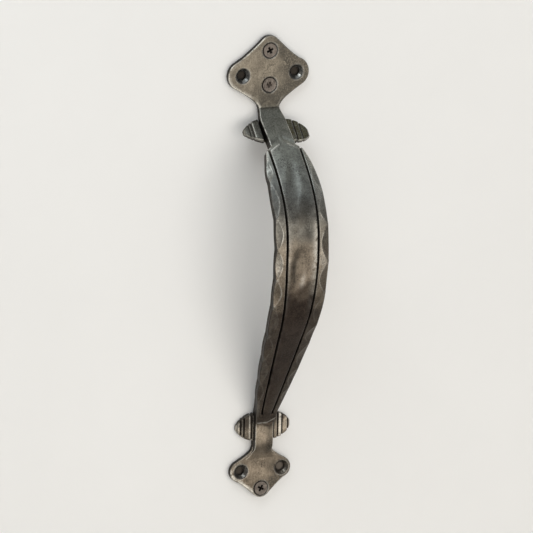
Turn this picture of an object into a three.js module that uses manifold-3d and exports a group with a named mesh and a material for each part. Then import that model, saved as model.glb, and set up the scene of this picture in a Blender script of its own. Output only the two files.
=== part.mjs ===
// A forged iron pull handle for a cabinet or a door, in millimetres.
// X runs across the handle and Z up along it. The wall is the plane y = 0, and the handle stands in front
// of it, so a depth d, measured from the wall towards the hand, lies at y = -d.
// The origin is on the back of the upper plate, midway between the two screws on its centre line.

import * as THREE from 'three';
import { LoftGeometry } from 'three/addons/geometries/LoftGeometry.js';
import { mergeVertices } from 'three/addons/utils/BufferGeometryUtils.js';
import Module from 'manifold-3d';

// Upper fixing plate: a diamond whose side tips are lobes round the holes
const upperThickness = 3.1;
const upperScrewZ = 9.6;
const upperApexZ = 17.9;
const upperCrownRadius = 6.2;
const upperHoleX = 16.0;
const upperHoleZ = -3.5;
const upperLobeRadius = 8.2;
const upperNeckHalf = 6.1;
const upperBendZ = -22.0;
const outlineDrift = -0.6;

// Lower fixing plate: the same form, smaller and upside down, measured from the line of its side holes
const lowerHoleLineZ = -230.4;
const lowerThickness = 3.1;
const lowerScrewDrop = 11.0;
const lowerApexDrop = 16.3;
const lowerCrownRadius = 5.6;
const lowerHoleX = 12.4;
const lowerLobeRadius = 6.1;
const lowerNeckHalf = 5.7;
const lowerNeckRise = 13.4;

// Edges of the plates, and the angles at which the side lobes meet the flank and the shoulder
const plateBevel = 0.5;
const flankAngle = -58;
const shoulderAngle = 66;
const crownAngle = 45;

// The bar seen from the side: height z and depth of its front face
const kneeZ = -38.0;
const kneeDepth = 21.8;
const kneeSlope = 49;
const bendSlope = 25;
const peakZ = -90.4;
const peakDepth = 51.2;
const tailZ = -139.5;
const tailDepth = 40.4;
const creaseRise = 28.4;
const strapDepth = 6.2;
const strapRise = 17.0;
const footRise = 4.4;

// The bar seen from the front: half widths, and half the spacing of the two chiselled grooves
const neckHalf = 7.4;
const shoulderHalf = 11.4;
const bellyHalf = 15.3;
const strapHalf = 5.5;
const grooveHalf = 9.3;
const grooveEndHalf = 2.6;
const shoulderZ = -41.0;
const shoulderLead = 2.6;
const grooveRunout = 5.0;
const footFlare = 0.11;
const footBlend = 5.0;

// The bar's section
const barThickness = 6.2;
const neckThickness = 5.4;
const grooveWidth = 1.3;
const grooveDepth = 2.4;
const bandFall = 1.0;
const crownFall = 0.12;
const edgeEase = 0.5;
const backEase = 1.2;

// Hammered scallops along the two front corners: distance of each ridge below the shoulder
const leftRidges = [4.0, 13.4, 31.8, 49.0, 66.0, 82.5, 101.6, 117.3, 133.7, 147.0];
const rightRidges = [4.8, 20.4, 36.7, 58.2, 77.0, 97.0, 109.2, 125.2, 139.0, 148.0];
const scallopReach = 0.66;
const leftScallopDrop = 1.6;
const rightScallopDrop = 1.15;
const scallopSwell = 0.4;

// The deep hammer dent in the band between the grooves: its middle, its length and width on the front face,
// how far it sinks in, and how far it leans from the bar's line
const dentX = -2.0;
const dentZ = -101.5;
const dentLength = 23.0;
const dentWidth = 8.8;
const dentDepth = 1.4;
const dentLean = 6;

// Wings beside the neck and the strap: length at the root, thickness at the root and the tip, depth of the
// grooves across them, and the widths of the beads between those grooves, from the bar outwards. The power
// of the outline makes a wing slimmer or fuller, blunt is how much of its length is left at the tip, and
// droop is how far the tip hangs below the root. No two wings are forged alike: the upper right one is full
// and droops, and the upper left one is slim and straight.
const upperRightWing = {
  length: 15.0, root: 3.4, tip: 2.6, groove: 1.0, beads: [4.4, 3.4, 4.9],
  power: 2.3, blunt: 0.2, droop: 2.5,
};
const upperLeftWing = {
  length: 15.0, root: 3.4, tip: 2.6, groove: 1.0, beads: [5.7, 1.7, 3.5],
  power: 1.25, blunt: 0.14, droop: 0.4,
};
const lowerRightWing = {
  length: 15.8, root: 3.8, tip: 2.6, groove: 1.3, beads: [2.6, 2.8, 3.8, 1.9],
  power: 1.9, blunt: 0.14, droop: 0,
};
const lowerLeftWing = {
  length: 15.8, root: 3.8, tip: 2.6, groove: 1.3, beads: [2.2, 4.4, 1.6, 2.9],
  power: 1.9, blunt: 0.14, droop: 0,
};
const upperRightWingZ = -35.2;
const upperLeftWingZ = -34.6;
const upperWingDepth = 9.2;
const upperWingSlope = 50;
const upperWingTilt = 3;
const lowerWingRise = 25.3;
const lowerWingDrift = 0.9;
const wingInset = 3.0;

// Countersunk wood screws and their holes
const headDiameter = 8.3;
const headAngle = 82;
const headSink = 0.1;
const shankDiameter = 4.2;
const screwLength = 25.0;
const screwTip = 5.0;
const seatGap = 0.3;
const emptyMouthDiameter = 8.7;
const recessSpan = 3.9;
const recessArm = 1.05;
const recessDepth = 2.0;
const recessTaper = 0.4;
const screwTurns = { upperTop: -25, upperCentre: 14, lower: 27 };

// Fineness of the faceted surfaces
const roundSegments = 32;
const curveSegments = 8;

const ironColour = 0x5f5d57;
const ironRoughness = 0.5;
const screwColour = 0x4e4641;
const screwRoughness = 0.42;
const metalness = 0.85;

const wasm = await Module();
wasm.setup();

const radians = THREE.MathUtils.degToRad;
const lerp = THREE.MathUtils.lerp;
const smooth = THREE.MathUtils.smoothstep;

// Heights that follow from the driving sizes
const creaseZ = lowerHoleLineZ + creaseRise;
const strapEndZ = lowerHoleLineZ + strapRise;
const footZ = lowerHoleLineZ + footRise;
const lowerNeckZ = lowerHoleLineZ + lowerNeckRise;
const lowerWingZ = lowerHoleLineZ + lowerWingRise;
const lowerScrewZ = lowerHoleLineZ - lowerScrewDrop;

// A closed geometry as a solid that can be joined and cut
function solid(geometry) {
  const bare = geometry.index ? geometry.toNonIndexed() : geometry.clone();
  for (const name of Object.keys(bare.attributes)) {
    if (name !== 'position') {
      bare.deleteAttribute(name);
    }
  }
  const merged = mergeVertices(bare, 1e-5);
  const vertProperties = new Float32Array(merged.attributes.position.array);
  const triVerts = new Uint32Array(merged.index.array);
  const mesh = new wasm.Mesh({ numProp: 3, vertProperties, triVerts });
  return new wasm.Manifold(mesh);
}

// The faceted geometry of a finished solid
function geometryOf(body) {
  const mesh = body.getMesh();
  const geometry = new THREE.BufferGeometry();
  geometry.setAttribute('position', new THREE.BufferAttribute(new Float32Array(mesh.vertProperties), 3));
  geometry.setIndex(new THREE.BufferAttribute(new Uint32Array(mesh.triVerts), 1));
  const faceted = geometry.toNonIndexed();
  faceted.computeVertexNormals();
  return faceted;
}

// Bare metal of a colour and roughness
function ironMaterial(color, roughness) {
  return new THREE.MeshStandardMaterial({ color, roughness, metalness });
}

// One half of a plate's outline, from its neck to its apex: flank, round lobe, hollow shoulder, round crown.
// It is drawn with the apex upwards, and side is 1 or -1.
function plateHalf(plate, side) {
  const lobe = new THREE.Vector2(side * plate.holeX + outlineDrift, plate.holeZ);
  const onLobe = (angle) => new THREE.Vector2(
    lobe.x + side * plate.lobeRadius * Math.cos(angle),
    lobe.y + plate.lobeRadius * Math.sin(angle),
  );
  const along = (from, angle, reach) => new THREE.Vector2(
    from.x - side * reach * Math.sin(angle),
    from.y + reach * Math.cos(angle),
  );
  const neck = new THREE.Vector2(side * plate.neckHalf, plate.neckZ);
  const flankStart = radians(flankAngle);
  const shoulderStart = radians(shoulderAngle);
  const crownStart = radians(crownAngle);
  const flankEnd = onLobe(flankStart);
  const shoulder = onLobe(shoulderStart);
  const crown = new THREE.Vector2(
    side * plate.crownRadius * Math.sin(crownStart),
    plate.apexZ - plate.crownRadius * (1 - Math.cos(crownStart)),
  );
  const reach = plate.lobeRadius / 2;
  const neckPull = new THREE.Vector2(neck.x, neck.y + reach);
  const flank = new THREE.CubicBezierCurve(neck, neckPull, along(flankEnd, flankStart, -reach), flankEnd);
  const crownPull = along(crown, crownStart, -reach);
  const rise = new THREE.CubicBezierCurve(shoulder, along(shoulder, shoulderStart, reach), crownPull, crown);
  const points = flank.getPoints(curveSegments);
  for (let i = 1; i < 2 * curveSegments; i += 1) {
    points.push(onLobe(lerp(flankStart, shoulderStart, i / (2 * curveSegments))));
  }
  points.push(...rise.getPoints(curveSegments));
  const crownSteps = curveSegments / 2;
  for (let i = 1; i <= crownSteps; i += 1) {
    const angle = lerp(crownStart, 0, i / crownSteps);
    const drop = plate.crownRadius * (1 - Math.cos(angle));
    points.push(new THREE.Vector2(side * plate.crownRadius * Math.sin(angle), plate.apexZ - drop));
  }
  return points;
}

// A flat plate with bevelled edges, its back on the wall. flip is -1 when its apex points down.
function makePlate(plate, flip, lineZ) {
  const right = plateHalf(plate, 1);
  const left = plateHalf(plate, -1);
  const outline = [...right, ...left.reverse().slice(1)];
  const placed = outline.map((point) => new THREE.Vector2(point.x, lineZ + flip * point.y));
  const geometry = new THREE.ExtrudeGeometry(new THREE.Shape(placed), {
    depth: plate.thickness - 2 * plateBevel,
    bevelEnabled: true,
    bevelThickness: plateBevel,
    bevelSize: plateBevel,
    bevelOffset: -plateBevel,
    bevelSegments: 1,
  });
  geometry.translate(0, 0, plateBevel);
  geometry.rotateX(Math.PI / 2);
  return solid(geometry);
}

// The front face of the bar as a chain of curves in the plane of height and depth, from plate to plate.
// Each stretch is a curve with the number of steps that it is cut into.
function frontStretches() {
  const at = (z, depth) => new THREE.Vector2(z, depth);
  const downhill = (angle, reach) => at(-reach * Math.cos(radians(angle)), reach * Math.sin(radians(angle)));
  const lead = at(upperBendZ + 5, upperThickness - 0.2);
  const bend = at(upperBendZ, upperThickness + 0.1);
  const knee = at(kneeZ, kneeDepth);
  const peak = at(peakZ, peakDepth);
  const tail = at(tailZ, tailDepth);
  const crease = at(creaseZ, strapDepth);
  const strapEnd = at(strapEndZ, strapDepth - 0.2);
  const foot = at(footZ, lowerThickness - 0.1);
  const neckLength = knee.distanceTo(bend);
  const rise = knee.distanceTo(peak);
  const fall = peak.distanceTo(tail);
  const tailWay = crease.clone().sub(tail).normalize();
  const bendPull = bend.clone().add(downhill(bendSlope, neckLength / 6));
  const kneePullBack = knee.clone().sub(downhill(kneeSlope, neckLength / 4));
  const kneePull = knee.clone().add(downhill(kneeSlope, rise * 0.47));
  const peakPullBack = peak.clone().add(at(rise * 0.35, 0));
  const peakPull = peak.clone().sub(at(fall * 0.47, 0));
  const tailPull = tail.clone().sub(tailWay.clone().multiplyScalar(fall * 0.28));
  const footReach = (strapEndZ - footZ) / 2;
  const strapPull = strapEnd.clone().sub(at(footReach, 0));
  const footPull = foot.clone().add(at(footReach, 0));
  return [
    [new THREE.LineCurve(lead, bend), 2],
    [new THREE.CubicBezierCurve(bend, bendPull, kneePullBack, knee), 12],
    [new THREE.CubicBezierCurve(knee, kneePull, peakPullBack, peak), 42],
    [new THREE.CubicBezierCurve(peak, peakPull, tailPull, tail), 28],
    [new THREE.LineCurve(tail, crease), 36],
    [new THREE.LineCurve(crease, strapEnd), 3],
    [new THREE.CubicBezierCurve(strapEnd, strapPull, footPull, foot), 10],
  ];
}

// Share of the grip's length between its shoulder and the crease at its foot
function gripShare(z) {
  return (shoulderZ - z) / (shoulderZ - creaseZ);
}

// Half the width of the bar at a height
function halfWidth(z) {
  const share = gripShare(z);
  if (z > upperBendZ) {
    return upperNeckHalf - 0.6;
  }
  if (share < 0) {
    const neck = lerp(upperNeckHalf, neckHalf, smooth(upperBendZ - z, 0, 6));
    return lerp(neck, shoulderHalf, smooth(shoulderZ + shoulderLead - z, 0, shoulderLead));
  }
  if (share < 0.3) {
    return bellyHalf - (bellyHalf - shoulderHalf) * (1 - share / 0.3) ** 6;
  }
  if (share < 1) {
    const fall = Math.max(0, share - 0.5) / 0.5;
    return bellyHalf - (bellyHalf - strapHalf) * fall ** 1.6;
  }
  const pastNeck = Math.max(0, lowerNeckZ - z);
  return strapHalf + footFlare * pastNeck ** 2;
}

// Half the spacing of the grooves at a height
function grooveOffset(z) {
  const share = Math.min(1, Math.max(0, gripShare(z) - 0.35) / 0.65);
  return grooveHalf - (grooveHalf - grooveEndHalf) * share ** 1.4;
}

// How far the section has turned from the plain neck or strap, 0, into the grooved grip, 1
function gripping(z) {
  const open = smooth(shoulderZ + shoulderLead - z, 0, shoulderLead);
  const shut = smooth(z - creaseZ, grooveRunout / 2, grooveRunout * 1.5);
  return open * shut;
}

// Depth of the scallop at a height, 0 on a ridge and 1 in the middle between two
function scallop(z, ridges) {
  const below = shoulderZ - z;
  for (let i = 1; i < ridges.length; i += 1) {
    if (below > ridges[i - 1] && below < ridges[i]) {
      const share = (below - ridges[i - 1]) / (ridges[i] - ridges[i - 1]);
      return Math.sin(Math.PI * share);
    }
  }
  return 0;
}

// Thickness of the bar at a height
function thickness(z) {
  if (z > kneeZ) {
    const share = smooth(upperBendZ - z, 0, upperBendZ - kneeZ);
    return lerp(upperThickness, neckThickness, share ** 0.5);
  }
  return lerp(neckThickness, barThickness, smooth(kneeZ - z, 0, 10));
}

// One half of the bar's section at a height: how far out and how far below the front face each point lies,
// from beside the centre of the front round to the edge of the back
function halfSection(z, ridges, scallopDrop, deep) {
  const grip = gripping(z);
  const hit = scallop(z, ridges) * grip;
  const half = halfWidth(z) + scallopSwell * (hit - 0.4) * grip;
  const groove = grooveOffset(z);
  const band = Math.max(0.4, half - groove - grooveWidth);
  const cut = edgeEase + scallopReach * band * hit;
  const fall = bandFall + scallopDrop * hit + edgeEase;
  const spread = smooth(lowerNeckZ - z, -1, footBlend);
  const top = crownFall + spread * Math.max(0, deep - lowerThickness);
  const plain = [
    [half * 0.6, lerp(crownFall / 2, top / 3, spread)],
    [half - edgeEase, top],
    [half, top + edgeEase],
    [half + crownFall * 0.6, lerp(top + edgeEase, deep, 0.2)],
    [half + crownFall, lerp(top + edgeEase, deep, 0.4)],
    [half + crownFall * 0.9, lerp(top + edgeEase, deep, 0.6)],
    [half, deep - edgeEase],
    [half - edgeEase, deep],
  ];
  const grooved = [
    [groove * 0.6, 0.1],
    [groove - grooveWidth / 2, 0.4],
    [groove, 0.4 + grooveDepth],
    [groove + grooveWidth / 2, 0.5],
    [half - cut, bandFall],
    [half, fall],
    [half, deep - backEase / 2],
    [half - backEase, deep],
  ];
  return plain.map((point, i) => [lerp(point[0], grooved[i][0], grip), lerp(point[1], grooved[i][1], grip)]);
}

// The front face's chain of curves as one row of points, running down the bar
function frontPath() {
  const path = [];
  for (const [curve, steps] of frontStretches()) {
    const points = curve.getPoints(steps);
    path.push(...(path.length ? points.slice(1) : points));
  }
  return path;
}

// The whole bar: neck, grip and strap as one loft whose ends lie inside the two plates
function makeBar() {
  const path = frontPath();
  const sections = path.map((point, i) => {
    const before = path[Math.max(0, i - 1)];
    const after = path[Math.min(path.length - 1, i + 1)];
    const way = after.clone().sub(before).normalize();
    const inward = new THREE.Vector2(way.y, -way.x).multiplyScalar(-1);
    const onWall = point.x > upperBendZ || point.x < creaseZ;
    if (onWall || inward.y > 0) {
      inward.set(0, -1);
    }
    const deep = onWall ? point.y : thickness(point.x);
    const place = (out, down) => new THREE.Vector3(
      out,
      -(point.y + inward.y * down),
      point.x + inward.x * down,
    );
    const rightHalf = halfSection(point.x, rightRidges, rightScallopDrop, deep);
    const leftHalf = halfSection(point.x, leftRidges, leftScallopDrop, deep);
    const right = rightHalf.map(([out, down]) => place(out, down));
    const left = leftHalf.map(([out, down]) => place(-out, down));
    return [place(0, 0), ...left, ...right.reverse()];
  });
  return solid(new LoftGeometry(sections, { closed: true, capStart: true, capEnd: true }));
}

// The space of the dent: half a flattened ball, its flat side well above the front face and its round
// side sunk into it. The ball is twice as thick as the dent is deep, which sets how wide it is at the face.
function dentSpace() {
  const path = frontPath();
  const next = path.findIndex((point) => point.x < dentZ);
  const [above, below] = [path[next - 1], path[next]];
  const depth = lerp(above.y, below.y, (above.x - dentZ) / (above.x - below.x));
  const slope = Math.atan2(below.y - above.y, above.x - below.x);
  const shareAtFace = Math.sqrt(1 - 0.5 ** 2);
  const geometry = new THREE.SphereGeometry(1, roundSegments, roundSegments / 2);
  geometry.scale(dentWidth / 2 / shareAtFace, 2 * dentDepth, dentLength / 2 / shareAtFace);
  geometry.translate(0, -dentDepth, 0);
  geometry.rotateY(radians(dentLean));
  geometry.rotateX(-slope);
  geometry.translate(dentX, -depth, dentZ);
  return solid(geometry);
}

// A wing lying on the plane y = 0 with its length along z, reaching out along x from inside the bar to the
// right, or to the left where side is -1. Its outline is a half oval, thinner towards the tip, and the beads
// are rounded across, with a groove between each two.
function makeWing(wing, start, side) {
  const reach = wing.beads.reduce((sum, width) => sum + width, 0);
  const sections = [];
  const slice = (out, height) => {
    const share = Math.max(0, out) / reach;
    const half = (wing.length / 2) * Math.max(wing.blunt, 1 - share ** wing.power) ** 0.6;
    const ease = Math.min(height, half) * 0.35;
    const rim = [
      [-half, 0], [-half, height - ease], [ease - half, height], [0, height + crownFall],
      [half - ease, height], [half, height - ease], [half, 0],
    ];
    const fall = wing.droop * share ** 2;
    const ring = rim.map(([along, up]) => new THREE.Vector3(side * (start + out), -up, along - fall));
    sections.push(side > 0 ? ring.reverse() : ring);
  };
  const top = (out) => lerp(wing.root, wing.tip, out / reach);
  slice(-wingInset, wing.root - wing.groove);
  let out = 0;
  for (const width of wing.beads) {
    slice(out, top(out) - wing.groove);
    slice(out + width * 0.18, top(out) - wing.groove * 0.15);
    slice(out + width * 0.5, top(out));
    slice(out + width * 0.78, top(out) - wing.groove * 0.15);
    out += width;
  }
  slice(out, top(out) / 2);
  return new LoftGeometry(sections, { closed: true, capStart: true, capEnd: true });
}

// A wing on the bar's neck, leaning with the neck's slope and tilted in its plane
function neckWing(wing, side, z) {
  const geometry = makeWing(wing, neckHalf, side);
  geometry.rotateY(radians(upperWingTilt));
  geometry.rotateX(-radians(upperWingSlope));
  geometry.translate(0, -upperWingDepth, z);
  return solid(geometry);
}

// A wing on the strap, lying on the wall
function strapWing(wing, side) {
  const geometry = makeWing(wing, strapHalf, side);
  geometry.translate(lowerWingDrift, 0, lowerWingZ);
  return solid(geometry);
}

// A body turned round an axis through x and z, its profile given as radius and y from front to back
function turned(profile, x, z) {
  const points = profile.map(([radius, y]) => new THREE.Vector2(radius, y));
  const geometry = new THREE.LatheGeometry(points, roundSegments);
  geometry.translate(x, 0, z);
  return geometry;
}

// How fast a screw head's cone narrows with depth
const coneRate = Math.tan(radians(headAngle / 2));
const seatRadius = (headDiameter / 2) + seatGap / Math.cos(radians(headAngle / 2)) + headSink * coneRate;
const throatRadius = shankDiameter / 2 + seatGap;

// The space of a countersunk hole through a plate, with its mouth in the plate's front face
function holeSpace(x, z, plateThickness, mouthRadius) {
  const over = 1;
  const face = -plateThickness;
  const coneEnd = face + (mouthRadius - throatRadius) / coneRate;
  return solid(turned([
    [0, face - over],
    [mouthRadius + over * coneRate, face - over],
    [mouthRadius, face],
    [throatRadius, coneEnd],
    [throatRadius, over],
    [0, over],
  ], x, z));
}

// The cross recess of a screw head, a tapered cross that narrows towards its bottom
function recessSpace(face, z, turn) {
  const arm = recessArm / 2;
  const span = recessSpan / 2;
  const corners = [
    [arm, -arm], [arm, -span], [-arm, -span], [-arm, -arm], [-span, -arm], [-span, arm],
    [-arm, arm], [-arm, span], [arm, span], [arm, arm], [span, arm], [span, -arm],
  ];
  const angle = radians(turn);
  const ring = (size, y) => corners.map(([u, v]) => new THREE.Vector3(
    size * (u * Math.cos(angle) - v * Math.sin(angle)),
    y,
    z + size * (u * Math.sin(angle) + v * Math.cos(angle)),
  ));
  const rings = [ring(1, face - 0.5), ring(1, face), ring(recessTaper, face + recessDepth)];
  return solid(new LoftGeometry(rings, { closed: true, capStart: true, capEnd: true }));
}

// A countersunk wood screw seated in its hole
function makeScrew(name, z, plateThickness, turn) {
  const face = headSink - plateThickness;
  const headRadius = headDiameter / 2;
  const shankRadius = shankDiameter / 2;
  const coneEnd = face + (headRadius - shankRadius) / coneRate;
  const body = solid(turned([
    [0, face],
    [headRadius, face],
    [shankRadius, coneEnd],
    [shankRadius, face + screwLength - screwTip * 1.4],
    [shankRadius * 0.8, face + screwLength - screwTip],
    [0, face + screwLength],
  ], 0, z));
  const cut = body.subtract(recessSpace(face, z, turn));
  const screw = new THREE.Mesh(geometryOf(cut), ironMaterial(screwColour, screwRoughness));
  screw.name = name;
  return screw;
}

// The forging: bar, plates and wings in one piece, drilled and countersunk
function makeHandle() {
  const upperPlate = {
    thickness: upperThickness,
    apexZ: upperApexZ,
    crownRadius: upperCrownRadius,
    holeX: upperHoleX,
    holeZ: upperHoleZ,
    lobeRadius: upperLobeRadius,
    neckHalf: upperNeckHalf,
    neckZ: upperBendZ - 0.6,
  };
  const lowerPlate = {
    thickness: lowerThickness,
    apexZ: lowerApexDrop,
    crownRadius: lowerCrownRadius,
    holeX: lowerHoleX,
    holeZ: 0,
    lobeRadius: lowerLobeRadius,
    neckHalf: lowerNeckHalf,
    neckZ: -lowerNeckRise,
  };
  const forging = makeBar()
    .subtract(dentSpace())
    .add(makePlate(upperPlate, 1, 0))
    .add(makePlate(lowerPlate, -1, lowerHoleLineZ))
    .add(neckWing(upperRightWing, 1, upperRightWingZ))
    .add(neckWing(upperLeftWing, -1, upperLeftWingZ))
    .add(strapWing(lowerRightWing, 1))
    .add(strapWing(lowerLeftWing, -1));
  const emptyRadius = emptyMouthDiameter / 2;
  const drilled = [
    holeSpace(0, upperScrewZ, upperThickness, seatRadius),
    holeSpace(0, -upperScrewZ, upperThickness, seatRadius),
    holeSpace(0, lowerScrewZ, lowerThickness, seatRadius),
    holeSpace(upperHoleX, upperHoleZ, upperThickness, emptyRadius),
    holeSpace(-upperHoleX, upperHoleZ, upperThickness, emptyRadius),
    holeSpace(lowerHoleX, lowerHoleLineZ, lowerThickness, emptyRadius),
    holeSpace(-lowerHoleX, lowerHoleLineZ, lowerThickness, emptyRadius),
  ].reduce((body, hole) => body.subtract(hole), forging);
  const handle = new THREE.Mesh(geometryOf(drilled), ironMaterial(ironColour, ironRoughness));
  handle.name = 'handle';
  return handle;
}

const object = new THREE.Group();
object.add(
  makeHandle(),
  makeScrew('upper_top_screw', upperScrewZ, upperThickness, screwTurns.upperTop),
  makeScrew('upper_centre_screw', -upperScrewZ, upperThickness, screwTurns.upperCentre),
  makeScrew('lower_screw', lowerScrewZ, lowerThickness, screwTurns.lower),
);

export default object;
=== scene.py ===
# %% Load the CAD parts from model.glb
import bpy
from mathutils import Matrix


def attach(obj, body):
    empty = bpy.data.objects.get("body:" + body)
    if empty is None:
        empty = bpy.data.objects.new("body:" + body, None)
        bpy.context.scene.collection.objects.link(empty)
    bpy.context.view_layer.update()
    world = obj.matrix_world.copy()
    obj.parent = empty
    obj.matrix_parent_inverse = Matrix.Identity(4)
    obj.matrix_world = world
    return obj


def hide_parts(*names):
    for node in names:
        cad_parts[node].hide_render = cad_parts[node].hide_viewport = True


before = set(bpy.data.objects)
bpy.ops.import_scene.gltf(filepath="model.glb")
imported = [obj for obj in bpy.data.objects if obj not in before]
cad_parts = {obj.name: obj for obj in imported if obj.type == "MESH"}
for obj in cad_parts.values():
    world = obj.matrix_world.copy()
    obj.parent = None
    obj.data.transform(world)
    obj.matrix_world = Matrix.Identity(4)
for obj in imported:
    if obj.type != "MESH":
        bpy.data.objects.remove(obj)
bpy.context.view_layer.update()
print("CAD nodes:", sorted(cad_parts))

# %% [markdown]
# A forged iron pull handle: two diamond plates lie on the wall, and a bowed bar joins them.
# The bar carries two chiselled grooves and a row of hammer scallops down each edge, and a pair
# of beaded wings sits on its neck and on its strap. Everything below is in millimetres until a
# mesh is made, and each surface is worked out with numpy as whole arrays.

# %% Tools that every cell uses
import math
from types import SimpleNamespace

import bpy
import numpy as np
from mathutils import Matrix, Vector
from mathutils.geometry import delaunay_2d_cdt

METRES = 0.001


def lerp(a, b, share):
    """a plus share of the way from a to b."""
    return a + (b - a) * share


def smooth(value, low, high):
    """0 below low, 1 above high, and 3 s squared minus 2 s cubed between them."""
    share = np.clip((value - low) / (high - low), 0, 1)
    return share * share * (3 - 2 * share)


def ripple(a, b, size, seed):
    """Gentle unevenness from -1 to 1: the mean of ten sine waves, each about size long,
    that run in random directions over the plane of a and b."""
    dice = np.random.default_rng(seed)
    angle = dice.uniform(0, 2 * np.pi, 10)
    length = size * dice.uniform(0.7, 1.6, 10)
    phase = dice.uniform(0, 2 * np.pi, 10)
    along = a[..., None] * np.cos(angle) + b[..., None] * np.sin(angle)
    return np.sin(2 * np.pi * along / length + phase).mean(axis=-1) * 1.6


def distances(chain):
    """How far each point is along a chain of points: the sum of the steps before it."""
    return np.concatenate([[0], np.cumsum(np.linalg.norm(np.diff(chain, axis=0), axis=1))])


def resample(chain, count):
    """So many points at equal distances along a chain of points."""
    far = distances(chain)
    even = np.linspace(0, far[-1], count)
    return np.stack([np.interp(even, far, chain[:, 0]), np.interp(even, far, chain[:, 1])], axis=1)


# %% [markdown]
# The camera stands to the left of the handle and a little above it, and looks through a long
# lens from two and a half metres, so the upright lines hardly converge. Its back vector comes from
# a turn and a rise, and a small roll is the tilt of a camera held by hand.

# %% Camera
turn, rise, roll = math.radians(-25), math.radians(15.49), math.radians(1.24)
back = Vector((math.sin(turn) * math.cos(rise), -math.cos(turn) * math.cos(rise), math.sin(rise)))
level = Vector((math.cos(turn), math.sin(turn), 0))
upright = back.cross(level)
across = level * math.cos(roll) + upright * math.sin(roll)
upward = upright * math.cos(roll) - level * math.sin(roll)
aim = Vector((1.83, 0, -113.5)) * METRES
DISTANCE = 2.5
camera = bpy.data.objects.new("camera", bpy.data.cameras.new("camera"))
facing_back = Matrix((across, upward, back)).transposed().to_4x4()
camera.matrix_world = Matrix.Translation(aim + back * DISTANCE) @ facing_back
camera.data.lens = 305.3
bpy.context.collection.objects.link(camera)
bpy.context.scene.camera = camera
print("camera at", [round(v, 3) for v in camera.matrix_world.translation])

# %% [markdown]
# A mesh here is a stack of rings. Each ring has the same number of points, neighbours are joined by
# four-sided faces, and a fan closes each end, so the piece is a closed shell. The sign of the volume tells
# whether the faces look outwards. Marks are numbers kept on the points, and the finishes read them: rub is
# how far the dark scale is worn off, and where it is 0 on a side wall the dark scale is also painted shade;
# edge is bright bare metal and painted highlights; the third mark is dirt in places and painted shade in
# others; band picks out the bar's side bands, and cone the countersinks.

# %% Rings into a mesh
MARKS = ("rub", "edge", "dirt_and_shade", "band", "cone")


def signed_volume(points, faces):
    """Six times the sum, over a fan of triangles in each face, of the box products of corners."""
    faces = np.asarray(faces)
    first = points[faces[:, 0]]
    total = 0.0
    for k in range(1, faces.shape[1] - 1):
        cross = np.cross(points[faces[:, k]], points[faces[:, k + 1]])
        total += float((first * cross).sum())
    return total


def shell(name, points, quads, triangles, marks):
    """A closed mesh from points in millimetres, faces and marks, turned so that it faces outwards."""
    if signed_volume(points, quads) + signed_volume(points, triangles) < 0:
        quads, triangles = quads[:, ::-1], triangles[:, ::-1]
    mesh = bpy.data.meshes.new(name)
    mesh.from_pydata(points * METRES, [], quads.tolist() + triangles.tolist())
    mesh.polygons.foreach_set("use_smooth", np.ones(len(mesh.polygons), dtype=bool))
    for mark in MARKS:
        layer = mesh.attributes.new(mark, "FLOAT", "POINT")
        layer.data.foreach_set("value", np.asarray(marks.get(mark, np.zeros(len(points))), dtype=np.float32))
    mesh.update()
    piece = bpy.data.objects.new(name, mesh)
    bpy.context.collection.objects.link(piece)
    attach(piece, "root")
    print(name, len(points), "points,", 2 * len(quads) + len(triangles), "triangles")
    return piece


def ring_faces(rings, around):
    """Four-sided faces between neighbouring rings of so many points, each ring closed on itself."""
    i = np.arange(rings - 1)[:, None] * around
    j = np.arange(around)[None, :]
    k = (j + 1) % around
    return np.stack([i + j, i + k, i + around + k, i + around + j], axis=-1).reshape(-1, 4)


def fan(ring, hub, flip):
    """Triangles from a hub point to each side of a ring."""
    following = np.roll(ring, -1)
    hubs = np.full(len(ring), hub)
    pair = (following, ring) if flip else (ring, following)
    return np.stack([hubs, *pair], axis=-1)


def ring_stack(name, rings, marks):
    """A closed piece from an array of rings, with a fan from the middle of each end ring."""
    count, around, _ = rings.shape
    hubs = np.stack([rings[0].mean(axis=0), rings[-1].mean(axis=0)])
    points = np.vstack([rings.reshape(-1, 3), hubs])
    last = np.arange(around) + (count - 1) * around
    ends = np.vstack([fan(np.arange(around), count * around, True), fan(last, count * around + 1, False)])
    carried = {}
    for mark in MARKS:
        values = marks.get(mark, np.zeros((count, around)))
        carried[mark] = np.concatenate([values.ravel(), [values[0].mean(), values[-1].mean()]])
    return shell(name, points, ring_faces(count, around), ends, carried)


# %% [markdown]
# Seen from the side, the bar leaves the upper plate steeply, bows out to a peak where the fingers
# close round it, runs down to a crease, and lies on the wall as a flat strap that melts into the
# lower plate. A smith gets that line over the horn of an anvil, so it has no straight corners.
# Bezier curves with level or sloping handles give it, and it is then cut into equal steps.

# %% The bar from the side
BEND_Z, KNEE_Z, PEAK_Z, TAIL_Z = -22.0, -38.0, -90.4, -139.5
CREASE_Z, STRAP_END_Z, FOOT_Z = -202.0, -213.4, -226.0
KNEE_DEPTH, PEAK_DEPTH, TAIL_DEPTH, STRAP_DEPTH = 21.8, 51.2, 40.4, 6.2
PLATE = 3.1


def curve(start, start_pull, end_pull, end, steps=400):
    """A cubic Bezier curve: its points are the mean of four points, weighted by the powers of the
    share of the way and of what is left of it."""
    s = np.linspace(0, 1, steps)[:, None]
    r = 1 - s
    return r**3 * start + 3 * r * r * s * start_pull + 3 * r * s * s * end_pull + s**3 * end


def downhill(degrees, reach):
    """A step of that reach down the bar, leaning away from the wall by so many degrees."""
    angle = math.radians(degrees)
    return np.array([-reach * math.cos(angle), reach * math.sin(angle)])


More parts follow.
